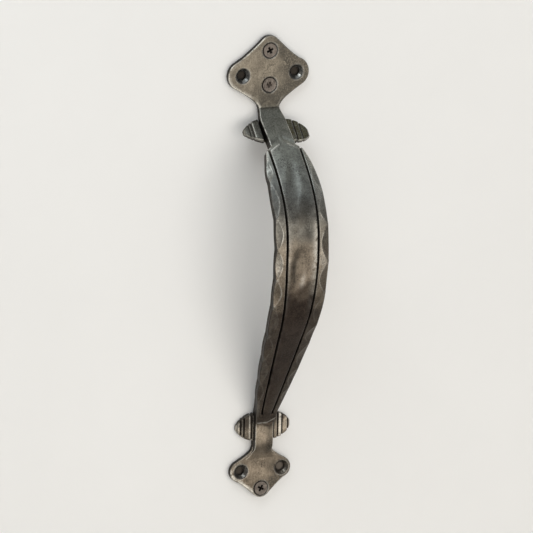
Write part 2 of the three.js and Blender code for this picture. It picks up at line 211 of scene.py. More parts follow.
def bar_line(steps):
    """Height and depth of the front of the bar at equal steps along it, from plate to plate."""
    bend, knee = np.array([BEND_Z, PLATE + 0.1]), np.array([KNEE_Z, KNEE_DEPTH])
    peak, tail = np.array([PEAK_Z, PEAK_DEPTH]), np.array([TAIL_Z, TAIL_DEPTH])
    crease, strap = np.array([CREASE_Z, STRAP_DEPTH]), np.array([STRAP_END_Z, STRAP_DEPTH - 0.2])
    lead, foot = np.array([BEND_Z + 5, PLATE - 0.3]), np.array([FOOT_Z, PLATE - 0.25])
    neck, climb, fall = (np.linalg.norm(b - a) for a, b in ((bend, knee), (knee, peak), (peak, tail)))
    tail_way = (crease - tail) / np.linalg.norm(crease - tail)
    reach = np.array([(STRAP_END_Z - FOOT_Z) / 2, 0])
    chain = np.vstack([
        np.linspace(lead, bend, 60),
        curve(bend, bend + downhill(25, neck / 6), knee - downhill(49, neck / 4), knee),
        curve(knee, knee + downhill(49, climb * 0.47), peak + np.array([climb * 0.35, 0]), peak),
        curve(peak, peak - np.array([fall * 0.47, 0]), tail - tail_way * fall * 0.28, tail),
        np.linspace(tail, crease, 300),
        np.linspace(crease, strap, 80),
        curve(strap, strap - reach, foot + reach, foot),
    ])
    return resample(chain, steps)


line = bar_line(720)
print("bar", round(float(distances(line)[-1]), 1), "mm long,",
      "peak", round(float(line[:, 1].max()), 2), "mm from the wall")

# %% [markdown]
# From the front the bar swells quickly below its shoulder and tapers in a long sweep to the
# strap. Two grooves, cut hot with a chisel, part it into a centre band and two side bands, and
# draw together towards the crease. Each size is a power of the share of the grip's length.

# %% The bar from the front
SHOULDER_Z, LEAD = -41.0, 2.6
NECK_HALF, SHOULDER_HALF, BELLY_HALF, STRAP_HALF, UPPER_NECK_HALF = 7.4, 11.4, 15.3, 5.5, 6.1
LOWER_NECK_Z = -217.0
GROOVE_WIDTH, GROOVE_DEPTH = 1.3, 2.4


def grip_share(z):
    """Share of the grip's length between its shoulder and the crease at its foot."""
    return (SHOULDER_Z - z) / (SHOULDER_Z - CREASE_Z)


def half_width(z):
    """Half the width of the bar: the neck, a quick swell by a sixth power below the shoulder, a
    taper by the power 1.6 over the lower half, and a flare by the square at the foot."""
    share = grip_share(z)
    neck = lerp(UPPER_NECK_HALF, NECK_HALF, smooth(BEND_Z - z, 0, 6))
    shoulder = lerp(neck, SHOULDER_HALF, smooth(SHOULDER_Z + LEAD - z, 0, LEAD))
    swell = BELLY_HALF - (BELLY_HALF - SHOULDER_HALF) * np.clip(1 - share / 0.3, 0, 1) ** 6
    taper = BELLY_HALF - (BELLY_HALF - STRAP_HALF) * np.clip((share - 0.5) / 0.5, 0, 1) ** 1.6
    foot = STRAP_HALF + 0.11 * np.clip(LOWER_NECK_Z - z, 0, None) ** 2
    above = np.where(z > BEND_Z, UPPER_NECK_HALF - 0.6, shoulder)
    below = np.where(share < 0.3, swell, np.where(share < 1, taper, foot))
    return np.where(share < 0, above, below)


def groove_offset(z):
    """Half the spacing of the grooves: level over the top third, then drawn in by the power 1.4."""
    share = np.clip((grip_share(z) - 0.35) / 0.65, 0, 1)
    return 9.3 - (9.3 - 2.6) * share ** 1.4


def gripping(z):
    """0 on the plain neck and strap, 1 on the grooved grip."""
    return smooth(SHOULDER_Z + LEAD - z, 0, LEAD) * smooth(z - CREASE_Z, 2.5, 7.5)


print("bar", round(2 * float(half_width(line[:, 0]).max()), 1), "mm wide at the belly")

# %% [markdown]
# Scallops are blows of the hammer's edge along the two front corners. Each one is a lens between two ridges,
# deepest in its middle, and no two are alike, so the ridges are placed one by one and each blow has its own
# strength. Some of the hollows get a painted highlight and others are darkened. The smith struck the right
# edge wider than the left, so each edge keeps its own values: drop is the depth of a full blow and reach the
# share of the side band that it takes, fuller is how much the belly stands out, and dulled is how far the
# scale stays in the hollows. margin, joint and sheen brighten the centre band's margin, the corners between
# scallops and the side band, and the margin and the sheen are painted highlights. The next two values darken
# the upper left side band and lay painted shade on the right of the strap, and early ends the band mark at
# the peak.

# %% Scallops and dents
LEFT = dict(
    side=-1, drop=1.6, reach=0.66, fuller=0.0, dulled=0.1, margin=0.3, margin_width=1.5, joint=1.0,
    sheen=0.0, band_soot=0.3, early=1.0, strap_shade=0.0,
    ridges=np.array([4.0, 13.4, 31.8, 49.0, 66.0, 82.5, 101.6, 117.3, 133.7, 147.0]),
    blows=np.array([1.0, 0.8, 1.0, 1.05, 0.9, 0.8, 0.6, 0.55, 0.45]),
    polish=np.array([0.45, 0.0, 0.2, 0.75, 0.0, 0.1, 0.0, 0.1, 0.0]),
    soot=np.array([0.45, 0.65, 0.1, 0.0, 0.0, 0.0, 0.0, 0.0, 0.0]))
RIGHT = dict(
    side=1, drop=1.5, reach=0.82, fuller=0.9, dulled=0.18, margin=1.1, margin_width=2.4, joint=0.45,
    sheen=1.0, band_soot=0.0, early=0.0, strap_shade=0.55,
    ridges=np.array([4.8, 20.4, 36.7, 58.2, 77.0, 97.0, 109.2, 125.2, 139.0, 148.0]),
    blows=np.array([0.7, 1.0, 1.1, 1.1, 0.6, 0.6, 0.5, 0.4, 0.4]),
    polish=np.zeros(9), soot=np.zeros(9))


def scallops(z, ridges):
    """How deep the scallop is at each height, half a sine wave from ridge to ridge, and which it is."""
    below = SHOULDER_Z - z
    index = np.clip(np.searchsorted(ridges, below) - 1, 0, len(ridges) - 2)
    share = (below - ridges[index]) / (ridges[index + 1] - ridges[index])
    inside = (share > 0) & (share < 1)
    return np.where(inside, np.sin(np.pi * np.clip(share, 0, 1)), 0), index


# Height, place across, half length, half width, depth and lean of the dents in the centre band
DENTS = [
    (-101.3, -1.1, 10.9, 4.9, 1.3, -0.03),
    (-60.0, -2.2, 12.0, 3.4, 0.8, -0.22),
    (-122.0, 2.4, 9.0, 3.0, 0.22, 0.1),
    (-80.0, 5.0, 6.0, 2.6, 0.15, 0.0),
    (-160.0, 0.5, 14.0, 3.0, 0.18, 0.05),
]


def dents(z, out):
    """Depth of all the dents at a place: each is a bell with a flat middle, longer than wide."""
    total = np.zeros_like(out)
    for height, place, length, width, deep, lean in DENTS:
        along = (z - height) / length
        aside = (out - place + lean * (z - height)) / width
        total += deep * np.exp(-(along**2 + aside**2) ** 1.9)
    return total


print(len(LEFT["blows"]), "scallops on each edge and", len(DENTS), "dents")

# %% [markdown]
# The section of the bar is carried along its line. Columns of points stand close together where
# the surface turns quickly, at the groove, at the inner line of a scallop and round the corners,
# and their places slide with those features from ring to ring, so every crease stays crisp. The
# columns of all the rings are worked out at once: a value of the ring is a column of an array,
# and a value of the point is a whole array.

# %% Where the points of the section stand
COLUMNS = (10, 3, 5, 5, 3, 7, 10)
CORNER = 0.45


def columns(stations):
    """Places across the front, evenly between each two neighbouring stations."""
    parts = []
    for k, steps in enumerate(COLUMNS):
        share = np.arange(steps)[None, :] / steps
        parts.append(lerp(stations[:, k:k + 1], stations[:, k + 1:k + 2], share))
    return np.hstack(parts + [stations[:, -1:]])


def across_section(z, deep, edge):
    """The lines of half the section, and the places out from its middle. The stations on the grip
    are the middle, the groove's two lips and its bottom, the scallop's inner line and the corner.
    A scallop reaches in by a share of the side band, times the half sine of its length."""
    grip = gripping(z)
    hit, index = scallops(z, edge["ridges"])
    hit = hit * grip
    half = half_width(z) + 0.4 * (hit - 0.4) * grip + edge["fuller"] * np.exp(-((z + 98) / 24) ** 2)
    groove = groove_offset(z)
    lip, wall = groove - GROOVE_WIDTH / 2, groove + GROOVE_WIDTH / 2
    band = np.maximum(0.4, half - groove - GROOVE_WIDTH)
    inner = half - (0.5 + edge["reach"] * band * hit)
    flat = half - CORNER
    gripped = np.stack([0 * z, lip - 0.3, lip, groove, wall, wall + 0.3,
                        np.minimum(inner, flat - 0.05), flat], axis=1)
    plain = np.stack([half * share for share in (0, 0.35, 0.45, 0.55, 0.65, 0.75, 0.87)] + [flat], axis=1)
    lines = dict(z=z, deep=deep, grip=grip, hit=hit, half=half, groove=groove, lip=lip, wall=wall,
                 inner=inner, flat=flat, blow=edge["blows"][index], polish=edge["polish"][index],
                 soot=edge["soot"][index])
    lines = {name: value[:, None] for name, value in lines.items()}
    return SimpleNamespace(**(edge | lines), out=columns(lerp(plain, gripped, grip[:, None])))


# %% [markdown]
# The front of the bar is one height over its section, and everything a smith did to it is a term
# of that height. Added in one place, the terms meet without a seam: a scallop runs out into the
# crown, a dent fades before the groove, and the groove dies away at the shoulder and the crease.

# %% How deep the points of the front lie
def front_depth(s):
    """On the plain neck, a crown by the square and a small facet at each hip. On the grip, the crown
    of each band, the groove's trough by a fourth power and its lips, the scallop that falls from its
    inner line to the corner, and the dents, one added to another. A burr stands up at the crease."""
    z, out, aside = s.z, s.out, s.side * s.out
    crown = 0.12 + smooth(LOWER_NECK_Z - z, -1, 5) * np.maximum(0, s.deep - PLATE)
    s.hip = (out - 2.5) * 0.376 + (z + 38.3) * 0.926
    hip_fade = smooth(z, -43, -40.5) * (1 - smooth(s.hip, 1.6, 3.2)) * (out > 1.0)
    plain = crown * (out / s.half) ** 2 + 0.2 * np.clip(s.hip, 0, 1.6) * hip_fade
    s.away = np.abs(out - s.groove) / (GROOVE_WIDTH / 2)
    s.trench = GROOVE_DEPTH * np.clip(1 - s.away**4, 0, 1) * smooth(s.grip, 0.35, 0.8)
    lips = 0.15 * np.clip(1 - (s.away - 1) * GROOVE_WIDTH / 2 / 0.3, 0, 1) ** 2 * (s.away >= 1)
    centre = 0.35 * (out / s.lip) ** 2
    outer = 0.5 + 0.5 * np.clip((out - s.wall) / (s.half - s.wall), 0, 1)
    facet = np.clip((out - s.inner) / np.maximum(s.half - s.inner, 0.2), 0, 1)
    s.hollow = s.hit * smooth(facet, 0.02, 0.12)
    cut = s.drop * s.hit ** 0.75 * s.blow * (facet ** 1.08 + 0.05 * np.sin(np.pi * facet))
    rim = 0.07 * s.hit * np.exp(-((out - s.inner) / 0.3) ** 2)
    worn = dents(z, aside) * (out < s.groove) + 0.05 + 0.05 * ripple(z, aside, 7, 3)
    gripped = np.where(out < s.groove, centre, outer) + s.trench + lips + cut - rim + worn
    burr_line = CREASE_Z + 0.1 + 0.55 * np.clip(aside - 1.2, 0, None) * (z > -206)
    s.burr = np.exp(-((z - burr_line) / 0.42) ** 2) * (0.75 + 0.25 * ripple(z, aside, 2.2, 8))
    return np.maximum(0, lerp(plain, gripped, s.grip) - 0.22 * s.burr)


# %% [markdown]
# A finish can only follow the shape if the mesh tells it where the ridges are. So the same lines that shape
# the bar also write its marks: edge is bright metal on ridges and burrs, and painted highlights on the
# margins, the brightened hollows, the sheen of the right side band and the big dent's lower right; the third
# mark is darkening, partly dirt and partly painted shade in the big dent's left side and on the strap; rub is
# how far the scale is worn off, and band picks out the two side bands. Each bright line is a bell curve over
# the distance from its line.

# %% Bright edges, painted highlights, darkening and painted shade on the bar
def bright_metal_and_highlights(s):
    """The largest of: the groove's lips, the inner lines of the scallops, the burr, the hips, the corners
    where two scallops meet, and the painted highlights: the margins of the centre band at the peak, the
    brightened hollows, the sheen of the right side band, and the lower right of the big dent's rim."""
    z, out, aside = s.z, s.out, s.side * s.out
    shown = s.trench < 0.3
    lips = np.exp(-((s.away - 1.15) * 3.2) ** 2) * 0.45 * s.grip * s.fading
    faint = 0.85 * s.fading * (0.7 + 0.6 * ripple(z, out, 9, 12 + s.side))
    rims = np.exp(-((out - s.inner) / 0.34) ** 2) * np.clip(s.hit * 1.5, 0, 1) * np.clip(faint, 0, 1)
    hips = np.exp(-(s.hip / 0.3) ** 2) * 0.8 * (out > 2.2) * (out < 9.2) * (z < -37)
    # Painted highlights on the centre band's margins at the peak.
    inward = np.exp(-((s.lip - out) / s.margin_width) ** 2) * (out < s.lip)
    peak = np.exp(-((z + 96) / 19) ** 2) * s.margin
    margins = inward * peak * (0.85 + 0.3 * ripple(z, out, 4, 71))
    # Painted highlights in some of the hollows.
    hollow_highlights = s.polish * s.hollow ** 0.5 * (0.8 + 0.5 * ripple(z, out, 3.0, 73))
    corners = (1 - smooth(s.hit, 0.08, 0.4)) * smooth(out, s.half - 2.1, s.half - 0.9)
    corners = s.joint * (corners * (0.6 + 0.5 * ripple(z, 0 * z, 5, 77))) * s.grip * s.fading
    # A painted sheen on the right side band.
    sheen = s.sheen * (0.42 * smooth(z, -80, -64) + 0.32 * np.exp(-((z + 95) / 14) ** 2))
    sheen = sheen * s.grip * smooth(out, s.wall + 0.4, s.wall + 1.0) * (1 - s.hollow ** 0.5)
    # A painted highlight on the lower right of the big dent's rim.
    crescent = np.hypot((z + 101.5) / 10.5, (aside + 1.1 - 0.03 * (z + 101.5)) / 4.6)
    lower_right = np.exp(-(((z + 108.5) / 4.5) ** 2 + ((aside - 0.6) / 1.6) ** 2))
    dent_highlight = 0.4 * lower_right * np.exp(-((crescent - 0.85) / 0.3) ** 2)
    return np.maximum.reduce([lips * shown, rims * shown, 0.9 * s.burr, hips, margins, hollow_highlights,
                              corners, sheen, dent_highlight])


def darkening_on_bar(s):
    """A darker tongue above the big dent, painted shade in a bow on the dent's left side, the darkened
    hollows, the upper left side band, and painted shade on the right of the strap and at its foot."""
    z, out, aside = s.z, s.out, s.side * s.out
    tongue = 0.94 * np.exp(-(((z + 76.5) / 10.5) ** 4 + ((aside - 3.0) / 3.8) ** 2)) * s.grip
    # The bow is painted shade on the big dent's left side.
    bow = (aside + 5.0 - 0.02 * (z + 101) ** 2) / 1.3
    bow = 0.55 * np.exp(-(((z + 101) / 9) ** 4 + bow ** 2))
    side_band = s.band_soot * (out > s.wall) * s.grip * smooth(z, -72, -62)
    strap = s.strap_shade * smooth(out, 0.0, 3.5) + 0.35 * smooth(-210 - z, 0, 5)
    strap = strap * smooth(CREASE_Z - 1 - z, 0, 2) * smooth(z, -224, -217)
    return np.maximum.reduce([tongue + bow, s.soot * s.hollow ** 0.4, side_band]) + strap


# %% [markdown]
# The back of the bar can't be seen in use, but a hand feels it, so its corners are rounder than
# the front's. The two ends lie over the plates. They are sunk a little there, because two faces
# in one plane flicker in a render.

# %% The forged bar
SUNK = 0.4
NECK_DEEP, GRIP_DEEP = 5.4, 6.2


def round_to_back(s, down):
    """Out and down from the front's last point to the middle of the back: a quarter circle, a side
    wall that is rough by a ripple, a larger quarter circle, and the flat back."""
    turn = np.linspace(0, np.pi / 2, 6)[None, 1:]
    share = np.linspace(0, 1, 8)[None, 1:]
    middle = 1 - np.linspace(0, 1, 7)[None, 1:]
    deep = s.deep - SUNK * ((s.z > BEND_Z) | (s.z < LOWER_NECK_Z))
    top, ease = down[:, -1:], lerp(0.5, 1.2, s.grip)
    rough = 0.12 * (ripple(s.z, share * 6, 3.5, 5 + s.side) + 1) * np.sin(np.pi * share)
    outs = [s.flat + CORNER * np.sin(turn), s.half - rough,
            s.half - ease + ease * np.cos(turn), (s.half - ease) * middle]
    downs = [top + CORNER * (1 - np.cos(turn)), lerp(top + CORNER, deep - ease, share),
             deep - ease + ease * np.sin(turn), deep + 0 * middle]
    return np.hstack(outs), np.hstack(downs)


def half_section(z, deep, edge):
    """Out, down and marks of half the section, from the middle of the front to that of the back. The marks
    fade down the grip, and the corner carries a painted highlight, brightest where two scallops meet. The
    side wall keeps the dark scale, with a rub mark of 0, which also stands as painted shade there."""
    s = across_section(z, deep, edge)
    down = front_depth(s)
    more_out, more_down = round_to_back(s, down)
    s.fading = lerp(1.0, 0.22, smooth(-s.z, 112, 130)) * (s.z > CREASE_Z) + (s.z <= CREASE_Z)
    shine = s.fading * (1 - 0.8 * smooth(s.hit, 0.1, 0.55))
    shine = np.clip(shine * (0.8 + 0.3 * ripple(s.z, 0 * s.z, 3.5, 61 + s.side)), 0, 1)
    bright, hidden = bright_metal_and_highlights(s), np.zeros_like(more_out)
    bright[:, -3:] = np.maximum(bright[:, -3:], shine * [0.2, 0.7, 1])
    corner_bright, corner_rub = hidden.copy(), hidden.copy()
    # A painted highlight along the front corner.
    corner_bright[:, :5] = shine * [1, 1, 0.8, 0.3, 0]
    corner_rub[:, :5] = [1, 0.9, 0.6, 0.2, 0]
    corner_rub[:, -7:] = 0.27 * s.grip
    rub = 1 - np.clip(1.6 * s.trench / GROOVE_DEPTH, 0, 1) - s.dulled * s.hollow
    band = (s.out > s.wall) * s.grip * (1 - s.early * smooth(s.z, -80, -66))
    marks = {"rub": (rub, corner_rub), "edge": (bright, corner_bright),
             "dirt_and_shade": (darkening_on_bar(s), hidden), "band": (band, hidden)}
    return (np.hstack([s.out, more_out]), np.hstack([down, more_down]),
            {name: np.hstack(parts) for name, parts in marks.items()})


def forged_bar():
    """Each ring stands square to the bar's line, or square to the wall on the strap and the lead."""
    z, depth = line.T
    way = np.gradient(line, axis=0)
    way /= np.linalg.norm(way, axis=1, keepdims=True)
    inward = np.stack([-way[:, 1], way[:, 0]], axis=1)
    upright = (z > BEND_Z) | (z < CREASE_Z)
    inward[upright | (inward[:, 1] > 0)] = (0, -1)
    neck = lerp(PLATE, NECK_DEEP, smooth(BEND_Z - z, 0, BEND_Z - KNEE_Z) ** 0.5)
    grip = lerp(NECK_DEEP, GRIP_DEEP, smooth(KNEE_Z - z, 0, 10))
    deep = np.where(upright, depth, np.where(z > KNEE_Z, neck, grip))
    right, left = half_section(z, deep, RIGHT), half_section(z, deep, LEFT)
    join = lambda a, b: np.hstack([a, b[:, -2:0:-1]])
    out, down = join(right[0], -left[0]), join(right[1], left[1])
    rings = np.stack([out, -(depth[:, None] + inward[:, 1:] * down),
                      z[:, None] + inward[:, :1] * down], axis=-1)
    marks = {name: join(right[2][name], left[2][name]) for name in right[2]}
    return ring_stack("forged_bar", rings, marks)


bar = forged_bar()
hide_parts("handle")

# %% [markdown]
# A plate is a diamond with a round lobe about each side hole and a small round crown at its apex. Its outline
# is one curve: a flank that swings out of the neck, an arc about the hole, a hollow shoulder, and the crown.
# The lower plate is the same form, smaller and upside down. Besides its sizes, each plate keeps how bright
# the painted highlight on its rim is, where its right side begins to darken, the way that its lit edge looks,
# and the line at which its dull lobe begins.

# %% Outline of a plate
UPPER_PLATE = dict(name="upper_plate", flip=1, line=0.0, apex=17.9, crown=6.2, hole=16.0, hole_z=-3.5,
                   lobe=8.2, neck=6.1, neck_z=-22.6, rim=0.5, shade=(1, 13), lit=(1.0, 0.35),
                   dull=(-1.0, 0.0, 17.5, 22))
LOWER_PLATE = dict(name="lower_plate", flip=-1, line=-230.4, apex=16.3, crown=5.6, hole=12.4, hole_z=0.0,
                   lobe=6.1, neck=5.7, neck_z=-13.4, rim=1.4, shade=(0, 9), lit=(0.6, 0.8),
                   dull=(-0.7, 0.7, 5, 9))
DRIFT, SPACING = -0.6, 0.36
FLANK, SHOULDER, CROWN = math.radians(-58), math.radians(66), math.radians(45)


def plate_half(plate, side):
    """Half the outline, apex upwards, from the neck to the apex: a Bezier curve, an arc, another
    Bezier curve and a last arc, each leaving the one before it in the same direction."""
    lobe = np.array([side * plate["hole"] + DRIFT, plate["hole_z"]])
    on_lobe = lambda angle: lobe + plate["lobe"] * np.stack([side * np.cos(angle), np.sin(angle)], axis=-1)
    along = lambda angle: np.array([-side * math.sin(angle), math.cos(angle)]) * plate["lobe"] / 2
    neck = np.array([side * plate["neck"], plate["neck_z"]])
    flank_end, shoulder = on_lobe(np.array(FLANK)), on_lobe(np.array(SHOULDER))
    over = np.linspace(CROWN, 0, 30)
    tip = np.stack([side * plate["crown"] * np.sin(over),
                    plate["apex"] - plate["crown"] * (1 - np.cos(over))], axis=-1)
    flank = curve(neck, neck + np.array([0, plate["lobe"] / 2]), flank_end - along(FLANK), flank_end, 60)
    arc = on_lobe(np.linspace(FLANK, SHOULDER, 60))
    rise = curve(shoulder, shoulder + along(SHOULDER), tip[0] - along(CROWN), tip[0], 60)
    return np.vstack([flank, arc[1:], rise[1:], tip[1:]])


def plate_outline(plate, spacing):
    """The closed outline as x and z at about equal steps, counterclockwise. Under the bar the neck
    ends in a round tongue. Twice the area, the sum of x times the next z less z times the next x,
    tells which way round it runs."""
    right, left = plate_half(plate, 1), plate_half(plate, -1)
    over = np.linspace(np.pi, 2 * np.pi, 40)[1:-1]
    tongue = np.stack([plate["neck"] * np.cos(over), plate["neck_z"] + 2.2 * np.sin(over)], axis=-1)
    loop = np.vstack([right, left[-2::-1], tongue, right[:1]])
    loop[:, 1] = plate["line"] + plate["flip"] * loop[:, 1]
    loop = resample(loop, int(distances(loop)[-1] / spacing) + 1)[:-1]
    area = (loop[:, 0] * np.roll(loop[:, 1], -1) - np.roll(loop[:, 0], -1) * loop[:, 1]).sum()
    return loop if area > 0 else loop[::-1]


def inset(loop, reach):
    """The loop moved inwards by reach, each point square to its neighbours."""
    way = np.roll(loop, -1, axis=0) - np.roll(loop, 1, axis=0)
    way /= np.linalg.norm(way, axis=1, keepdims=True)
    return loop + reach * np.stack([-way[:, 1], way[:, 0]], axis=1)


def outward(loop):
    """A step of one millimetre out of the loop at each of its points."""
    return (loop - inset(loop, 0.1)) / 0.1


print("upper plate", np.ptp(plate_outline(UPPER_PLATE, SPACING), axis=0).round(1), "mm wide and high")

# %% [markdown]
# A flat face with holes has no natural grid. A Boolean could cut the holes, but it leaves long
# thin faces that shade badly. So its loops are worked out first, and a Delaunay triangulation,
# which makes the fattest triangles that fit its points, joins them with a net of inner points.

# %% Flat faces with holes
AROUND = 96


def inside(points, loop):
    """True where a point has an odd number of the loop's sides to its right."""
    x, y = points[:, :1], points[:, 1:]
    ax, ay = loop.T
    bx, by = np.roll(loop, -1, axis=0).T
    crosses = (ay > y) != (by > y)
    steps = np.where(by == ay, 1, by - ay)
    return (crosses & (x < ax + (y - ay) * (bx - ax) / steps)).sum(axis=1) % 2 == 1


def join_flat(points, loops, outline, holes):
    """Triangles over the points, kept where their middles are inside the outline and no hole. Each
    loop is given as the numbers of its points, and its sides are sides of triangles."""
    sides = np.vstack([np.stack([ring, np.roll(ring, -1)], axis=1) for ring in loops]).tolist()
    made = delaunay_2d_cdt([Vector(p) for p in points.tolist()], sides, [], 0, 1e-7)
    origin = np.array([group[0] for group in made[3]])
    triangles = origin[np.array(made[2])]
    middles = points[triangles].mean(axis=1)
    keep = inside(middles, outline)
    for x, z, radius in holes:
        keep &= np.hypot(middles[:, 0] - x, middles[:, 1] - z) > radius * 0.999
    return triangles[keep]


def circle(x, z, radius):
    """AROUND points about a centre."""
    angle = np.linspace(0, 2 * np.pi, AROUND, endpoint=False)
    return np.stack([x + radius * np.cos(angle), z + radius * np.sin(angle)], axis=1)


# %% [markdown]
# A plate is built as one closed shell, so that no gap shows at its edge. Loops round the corner,
# rings round each hole's lip and the inner net make the hammered front. The side wall and the
# countersinks go on from those loops to the back. Each point carries its marks with it.

# %% The surface of a plate and its holes
HEAD_RADIUS, SHANK_RADIUS, GAP, SINK = 4.15, 2.1, 0.3, 0.1
CONE = math.tan(math.radians(41))
SEAT = HEAD_RADIUS + GAP / math.cos(math.radians(41)) + SINK * CONE
THROAT = SHANK_RADIUS + GAP
EMPTY = 4.35
ROUND = 0.4


class Surface:
    """The points of a plate so far, a row each of x, y, z, rub, edge and cone, and its faces."""

    def __init__(self):
        self.table, self.quads = np.zeros((0, 6)), []

    def add(self, flat, depth, rub=1.0, edge=0.0, cone=0.0):
        """Takes points by their x and z and their depth, and gives back their numbers."""
        rows = np.zeros((len(flat), 6))
        for k, values in enumerate((flat[:, 0], -depth, flat[:, 1], rub, edge, cone)):
            rows[:, k] = values
        self.table = np.vstack([self.table, rows])
        return np.arange(len(self.table) - len(rows), len(self.table))

    def bridge(self, ring, following, outer):
        """Four-sided faces between two rings, turned one way on the outer wall, the other in a hole."""
        corners = [ring, following, np.roll(following, -1), np.roll(ring, -1)]
        self.quads.append(np.stack(corners if outer else corners[:1] + corners[:0:-1], axis=1))
        return following


def hammered(points, seed):
    """Depth of a plate's hammered front: its thickness less slow dents and fine unevenness."""
    x, z = points.T
    return PLATE - 0.09 * (1 + ripple(x, z, 9, seed)) - 0.035 * (1 + ripple(x, z, 3.2, seed + 1))


# %% [markdown]
# The front was hammered flat and its corner filed round, and the corner is what the light catches.
# Six loops close together make the round. The lip of each hole gets three, so that the small
# chamfer shades as one, and the net only has to be fine enough for the hammer's slow dents.

# %% The hammered front of a plate
def inner_net(plate, outline, holes):
    """Points in staggered rows inside the corner and clear of the holes, with a last loop beside the corner,
    and their edge marks: the rim that looks to the lower left gets a painted highlight."""
    step = 0.75
    low, high = outline.min(axis=0), outline.max(axis=0)
    along = np.arange(low[0], high[0], step)
    net = np.vstack([np.stack([along + (k % 2) * step / 2, np.full(len(along), row)], axis=1)
                     for k, row in enumerate(np.arange(low[1], high[1], step * 0.866))])
    net = net[inside(net, inset(outline, ROUND + 0.7))]
    near = ~inside(net, inset(outline, ROUND + 1.4))
    lower_left = smooth(-0.7 * (net[:, 0] + net[:, 1] - plate["line"]), 3, 8)
    looks = outward(outline)[::2]
    shine = np.concatenate([0.4 * plate["rim"] * near * lower_left,
                            plate["rim"] * smooth(-0.7 * looks[:, 0] - 0.7 * looks[:, 1], 0.3, 0.95)])
    net = np.vstack([net, inset(outline, ROUND + 0.32)[::2]])
    for x, z, mouth, *_ in holes:
        free = np.hypot(net[:, 0] - x, net[:, 1] - z) > mouth + 0.4
        net, shine = net[free], shine[free]
    return net, shine


def front_face(surface, plate, outline, holes, seed):
    """Six loops round the corner, three round each hole's lip, and the net, with the triangles over
    them. The corner falls by one less the sine of its angle, and shines where it faces the light."""
    lit = 0.22 + 0.78 * smooth(-outward(outline) @ plate["lit"], -0.1, 0.6)
    loops = []
    for angle, bright in zip(np.linspace(0, np.pi / 2, 6), (0.5, 1, 1, 1, 1, 0.85)):
        loop = inset(outline, ROUND * (1 - math.cos(angle)))
        fall = ROUND * (1 - math.sin(angle))
        loops.append(surface.add(loop, hammered(loop, seed) - fall, edge=bright * lit))
    for x, z, mouth, *_ in holes:
        for wider, fall, bright in ((0.0, 0.15, 0.55), (0.08, 0.05, 0.6), (0.18, 0.0, 0.3)):
            loop = circle(x, z, mouth + wider)
            loops.append(surface.add(loop, hammered(loop, seed) - fall, edge=bright))
    net, shine = inner_net(plate, outline, holes)
    surface.add(net, hammered(net, seed), edge=shine)
    return loops, join_flat(surface.table[:, [0, 2]], loops, outline, [hole[:3] for hole in holes])


# %% [markdown]
# A countersink is a cone that ends in a straight hole. A drill leaves it brighter than the plate,
# and on the real handle one side of an empty cone catches the light. The cone is too small for a
# soft lamp to show that, so a glint is marked on its points.

# %% The countersinks
def countersink(surface, ring, x, z, mouth, glint, grey):
    """Rings down a hole: a cone from the mouth to the throat, then a straight wall, whose rub falls to 0, a
    painted shade that darkens the throat. The painted glint is a bell over the angle at the lower right times
    a bell over the radius."""
    share = np.linspace(0, 1, 8)[1:]
    cone_end = PLATE - (mouth - THROAT) / CONE
    radii = [*lerp(mouth, THROAT, share), THROAT, THROAT]
    depths = [*lerp(PLATE, cone_end, share), cone_end / 2, 0.0]
    angle = np.linspace(0, 2 * np.pi, AROUND, endpoint=False)
    lower_right = np.exp(-((angle - 5.75) / 0.33) ** 2)
    for radius, depth, rub in zip(radii, depths, (0.8, 0.85, 0.85, 0.8, 0.75, 0.7, 0.55, 0.2, 0)):
        shine = glint * math.exp(-((radius - 3.1) / 0.42) ** 2) * lower_right
        ring = surface.bridge(ring, surface.add(circle(x, z, radius), depth, rub, shine, grey), False)
    return ring


# %% [markdown]
# The front, the wall, the cones and the back now join into one plate. A Delaunay net has no front
# or back of its own, so its triangles are turned by their normals before the shell is made.

# %% The two fixing plates
def facing(surface, triangles, sign):
    """The triangles, each turned so that its normal, the cross product of two sides, has that sign
    along y."""
    a, b, c = np.moveaxis(surface.table[triangles, :3], 1, 0)
    return np.where((np.cross(b - a, c - a)[:, 1] * sign > 0)[:, None], triangles, triangles[:, ::-1])


def darkening_on_plate(plate, x, z, seed):
    """The sum of a darker right side, one dull lobe, the right flank, a smudge, and painted shade on the neck
    beside the bar.
    """
    level = z - plate["line"]
    right_side = smooth(x, *plate["shade"]) * (0.62 + 0.25 * ripple(x, z, 8, seed + 2))
    lobe = 0.35 * smooth(plate["dull"][0] * x + plate["dull"][1] * level, *plate["dull"][2:])
    flank = 0.7 * smooth(x + plate["flip"] * level, 8, 15) * (x > 2)
    smudge = 0.4 * np.exp(-((x - 8) ** 2 + (z + 1) ** 2) / 14)
    neck = np.exp(-((z + 18.5) / 8) ** 2) * smooth(x, -9, -4)
    return np.clip(right_side + lobe + flank + smudge + neck, 0, 0.92)


